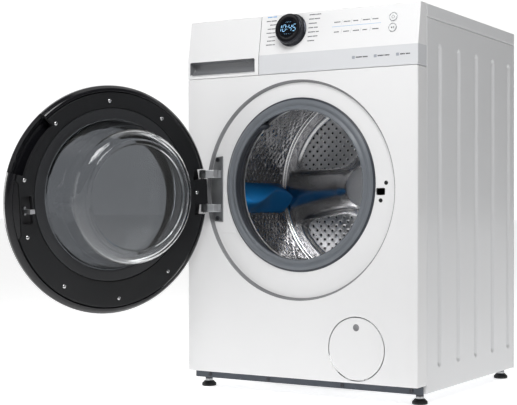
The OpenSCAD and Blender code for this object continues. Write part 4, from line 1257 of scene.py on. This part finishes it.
def door_glass():
    """The clear bowl, from its flange to its flat bottom, with an even wall."""
    outer = fillet([(179, -3.4), (161.5, -3.4), (159.4, 3), (154.6, 23), (149, 44), (142, 84), (133, 96),
                    (122, 98), (119.5, 100),
                    (113, 100), (110.5, 98.2), (0, 98)], [0.5, 1.5, 3, 20, 30, 16, 14, 4, 1.5, 1.5, 3, 0], 8,
                   False)
    inner = fillet([(0, 93.5), (110, 93.5), (128, 91.5), (136, 81), (143.6, 43), (149.4, 22), (154, 2),
                    (155, -8),
                    (179, -8)], [0, 20, 14, 14, 30, 20, 6, 2, 0.5], 8, False)
    return lathe("glass_bowl", outer + inner, [bowl_clear])


piece(swing_open(door_shell()), "door", "door_gloss", "door_outer_ring")
piece(swing_open(door_plate()), "door", "door_grey", "door_inner_ring")
piece(swing_open(door_land()), "door", "door_gloss")
piece(swing_open(door_glass()), "door", "bowl_glass", "door_bowl")
window = lathe("outer_window", [(0, -28.6), (140, -28.3), (168, -27.9), (171.4, -27.4), (172, -26.6),
                                (172, -24),
                                (0, -24.4)], [window_dark], z=DOOR_Z)
piece(swing_open(window), "door", "window_tint", "door_window")

for i, angle in enumerate((90, 127, 53, 16, -16, -53, -90, -127, 180)):
    a = math.radians(angle)
    r = 214 if angle == 180 else 213
    obj = screw(f"door_screw_{i + 1}", r * math.cos(a), DOOR_Z + r * math.sin(a), 0.0, 4.0, bright)
    obj.data.transform(Matrix.Scale(-1, 4, Vector((0, 1, 0))))
    obj.data.transform(Matrix.Translation((0, 2 * FRONT_Y, 0)))
    obj.data.flip_normals()
    piece(swing_open(obj), "door", "door_steel", *(("door_screws",) if i == 0 else ()))


# ---------- CAD nodes that keep their shape ----------

FINISH = {
    enamel("rear_steel", (0.58, 0.59, 0.60), 0.34): ("rear_panel",),
    metal("galvanised", (0.55, 0.56, 0.58), 0.4, (1, 1, 1), 0.9): (
        "rear_access_cover", "base_frame", "top_braces"),
    satin_black: ("hinge_block", "transit_plugs", "cable_gland", "door_lock"),
    arm_metal: ("door_hook",),
    metal("screw_dark", (0.09, 0.09, 0.10), 0.42): ("fasteners",),
    bright: ("hinge_pin", "heater", "suspension_springs", "drum_bearings"),
    plastic("tub_plastic", (0.50, 0.51, 0.52), 0.5, 0.06, 900): ("tub_front", "tub_rear"),
    plastic("iron_grey", (0.16, 0.16, 0.17), 0.8, 0.3, 300): ("counterweights",),
    plastic("damper_grey", (0.24, 0.25, 0.27), 0.5): ("dampers",),
    cast: ("motor", "motor_pulley", "drum_pulley", "drum_spider"),
    plastic("valve_white", (0.75, 0.76, 0.76), 0.45): ("inlet_valve", "drain_pump"),
    rubber("hose_grey", (0.10, 0.105, 0.115), 0.5): ("hoses", "drive_belt"),
    plastic("drawer_white", (0.72, 0.73, 0.74), 0.42): ("drawer_tray", "drawer_housing"),
    plastic("cap_blue", (0.04, 0.30, 0.66), 0.35): ("softener_cap",),
    plastic("filter_grey", (0.40, 0.41, 0.43), 0.45): ("pump_filter", "pump_impeller"),
    plastic("board_green", (0.02, 0.14, 0.06), 0.4): ("control_board",),
}
for material, names in FINISH.items():
    for name in names:
        if name in frame["nodes"]:
            for s in frame["nodes"][name].material_slots:
                s.material = material


# ---------- stage, light and camera ----------

floor_mesh = bmesh.new()
bmesh.ops.create_grid(floor_mesh, x_segments=1, y_segments=1, size=60)
floor_paint = Paint("floor_pale", (0.9, 0.9, 0.9), 0.8).set(Emission_Color=(1, 1, 1, 1),
                                                            Emission_Strength=0.78)
floor_paint.vary_color(floor_paint.noise(3, 4), (0.885, 0.885, 0.885))
along = floor_paint.t.nodes.new("ShaderNodeVectorMath")
along.operation = "DOT_PRODUCT"
along.inputs[1].default_value = (-0.494, 0.8695, 0.0)
floor_paint.link(floor_paint.where, along.inputs[0])
floor_paint.link(floor_paint.ramp(along.outputs["Value"], 0.13, 0.66, -1.1, -0.35),
                 floor_paint.b.inputs["Emission Strength"])
floor = finish_mesh("floor", floor_mesh, [floor_paint.m], facing=(0, 0, 1))


def softbox(name, where, target, size, power, spread=180):
    light = bpy.data.lights.new(name, "AREA")
    light.shape = "RECTANGLE"
    light.size, light.size_y = size
    light.energy = power
    light.spread = math.radians(spread)
    obj = bpy.data.objects.new(name, light)
    obj.location = where
    obj.rotation_euler = (Vector(target) - Vector(where)).to_track_quat("-Z", "Y").to_euler()
    bpy.context.scene.collection.objects.link(obj)
    return obj


softbox("key", (0.6, -1.5, 1.8), (0.1, -0.28, 0.8), (1.2, 0.8), 27)
softbox("left_fill", (-1.6, -3.1, 1.1), (0.0, -0.1, 0.5), (2.0, 1.8), 10)
softbox("left_strip", (-2.5, -0.84, 0.55), (-0.33, -0.53, 0.46), (0.5, 1.5), 12)
softbox("top", (0, 0.6, 3.4), (0, 0.3, 0.5), (2.6, 2.6), 18)

world = bpy.data.worlds.new("studio")
bpy.context.scene.world = world
world.use_nodes = True
sky = world.node_tree
coords = sky.nodes.new("ShaderNodeTexCoord")
split = sky.nodes.new("ShaderNodeSeparateXYZ")
sky.links.new(coords.outputs["Generated"], split.inputs[0])
shade = sky.nodes.new("ShaderNodeMapRange")
for key, value in (("From Min", 0.35), ("From Max", 0.88), ("To Min", 0.09), ("To Max", 1.06)):
    shade.inputs[key].default_value = value
mix = sky.nodes.new("ShaderNodeVectorMath")
mix.operation = "DOT_PRODUCT"
mix.inputs[1].default_value = (-0.7, 0.714, 0.0)
sky.links.new(coords.outputs["Generated"], mix.inputs[0])
sky.links.new(mix.outputs["Value"], shade.inputs["Value"])
back = sky.nodes["Background"]
back.inputs["Color"].default_value = (1, 1, 1, 1)
sky.links.new(shade.outputs["Result"], back.inputs["Strength"])

lens = bpy.data.cameras.new("camera")
lens.sensor_width = 36
lens.lens = 81.64
lens.shift_x = -0.1673
lens.shift_y = 0.0351
camera = bpy.data.objects.new("camera", lens)
azimuth, elevation = math.radians(29.608), math.radians(0.387)
behind = Vector((math.sin(azimuth) * math.cos(elevation), -math.cos(azimuth) * math.cos(elevation),
                 math.sin(elevation)))
camera.location = (1.3697, -2.4741, 0.4074)
camera.rotation_euler = behind.to_track_quat("Z", "Y").to_euler()
bpy.context.scene.collection.objects.link(camera)
bpy.context.scene.camera = camera
bpy.context.scene.view_settings.view_transform = "Standard"
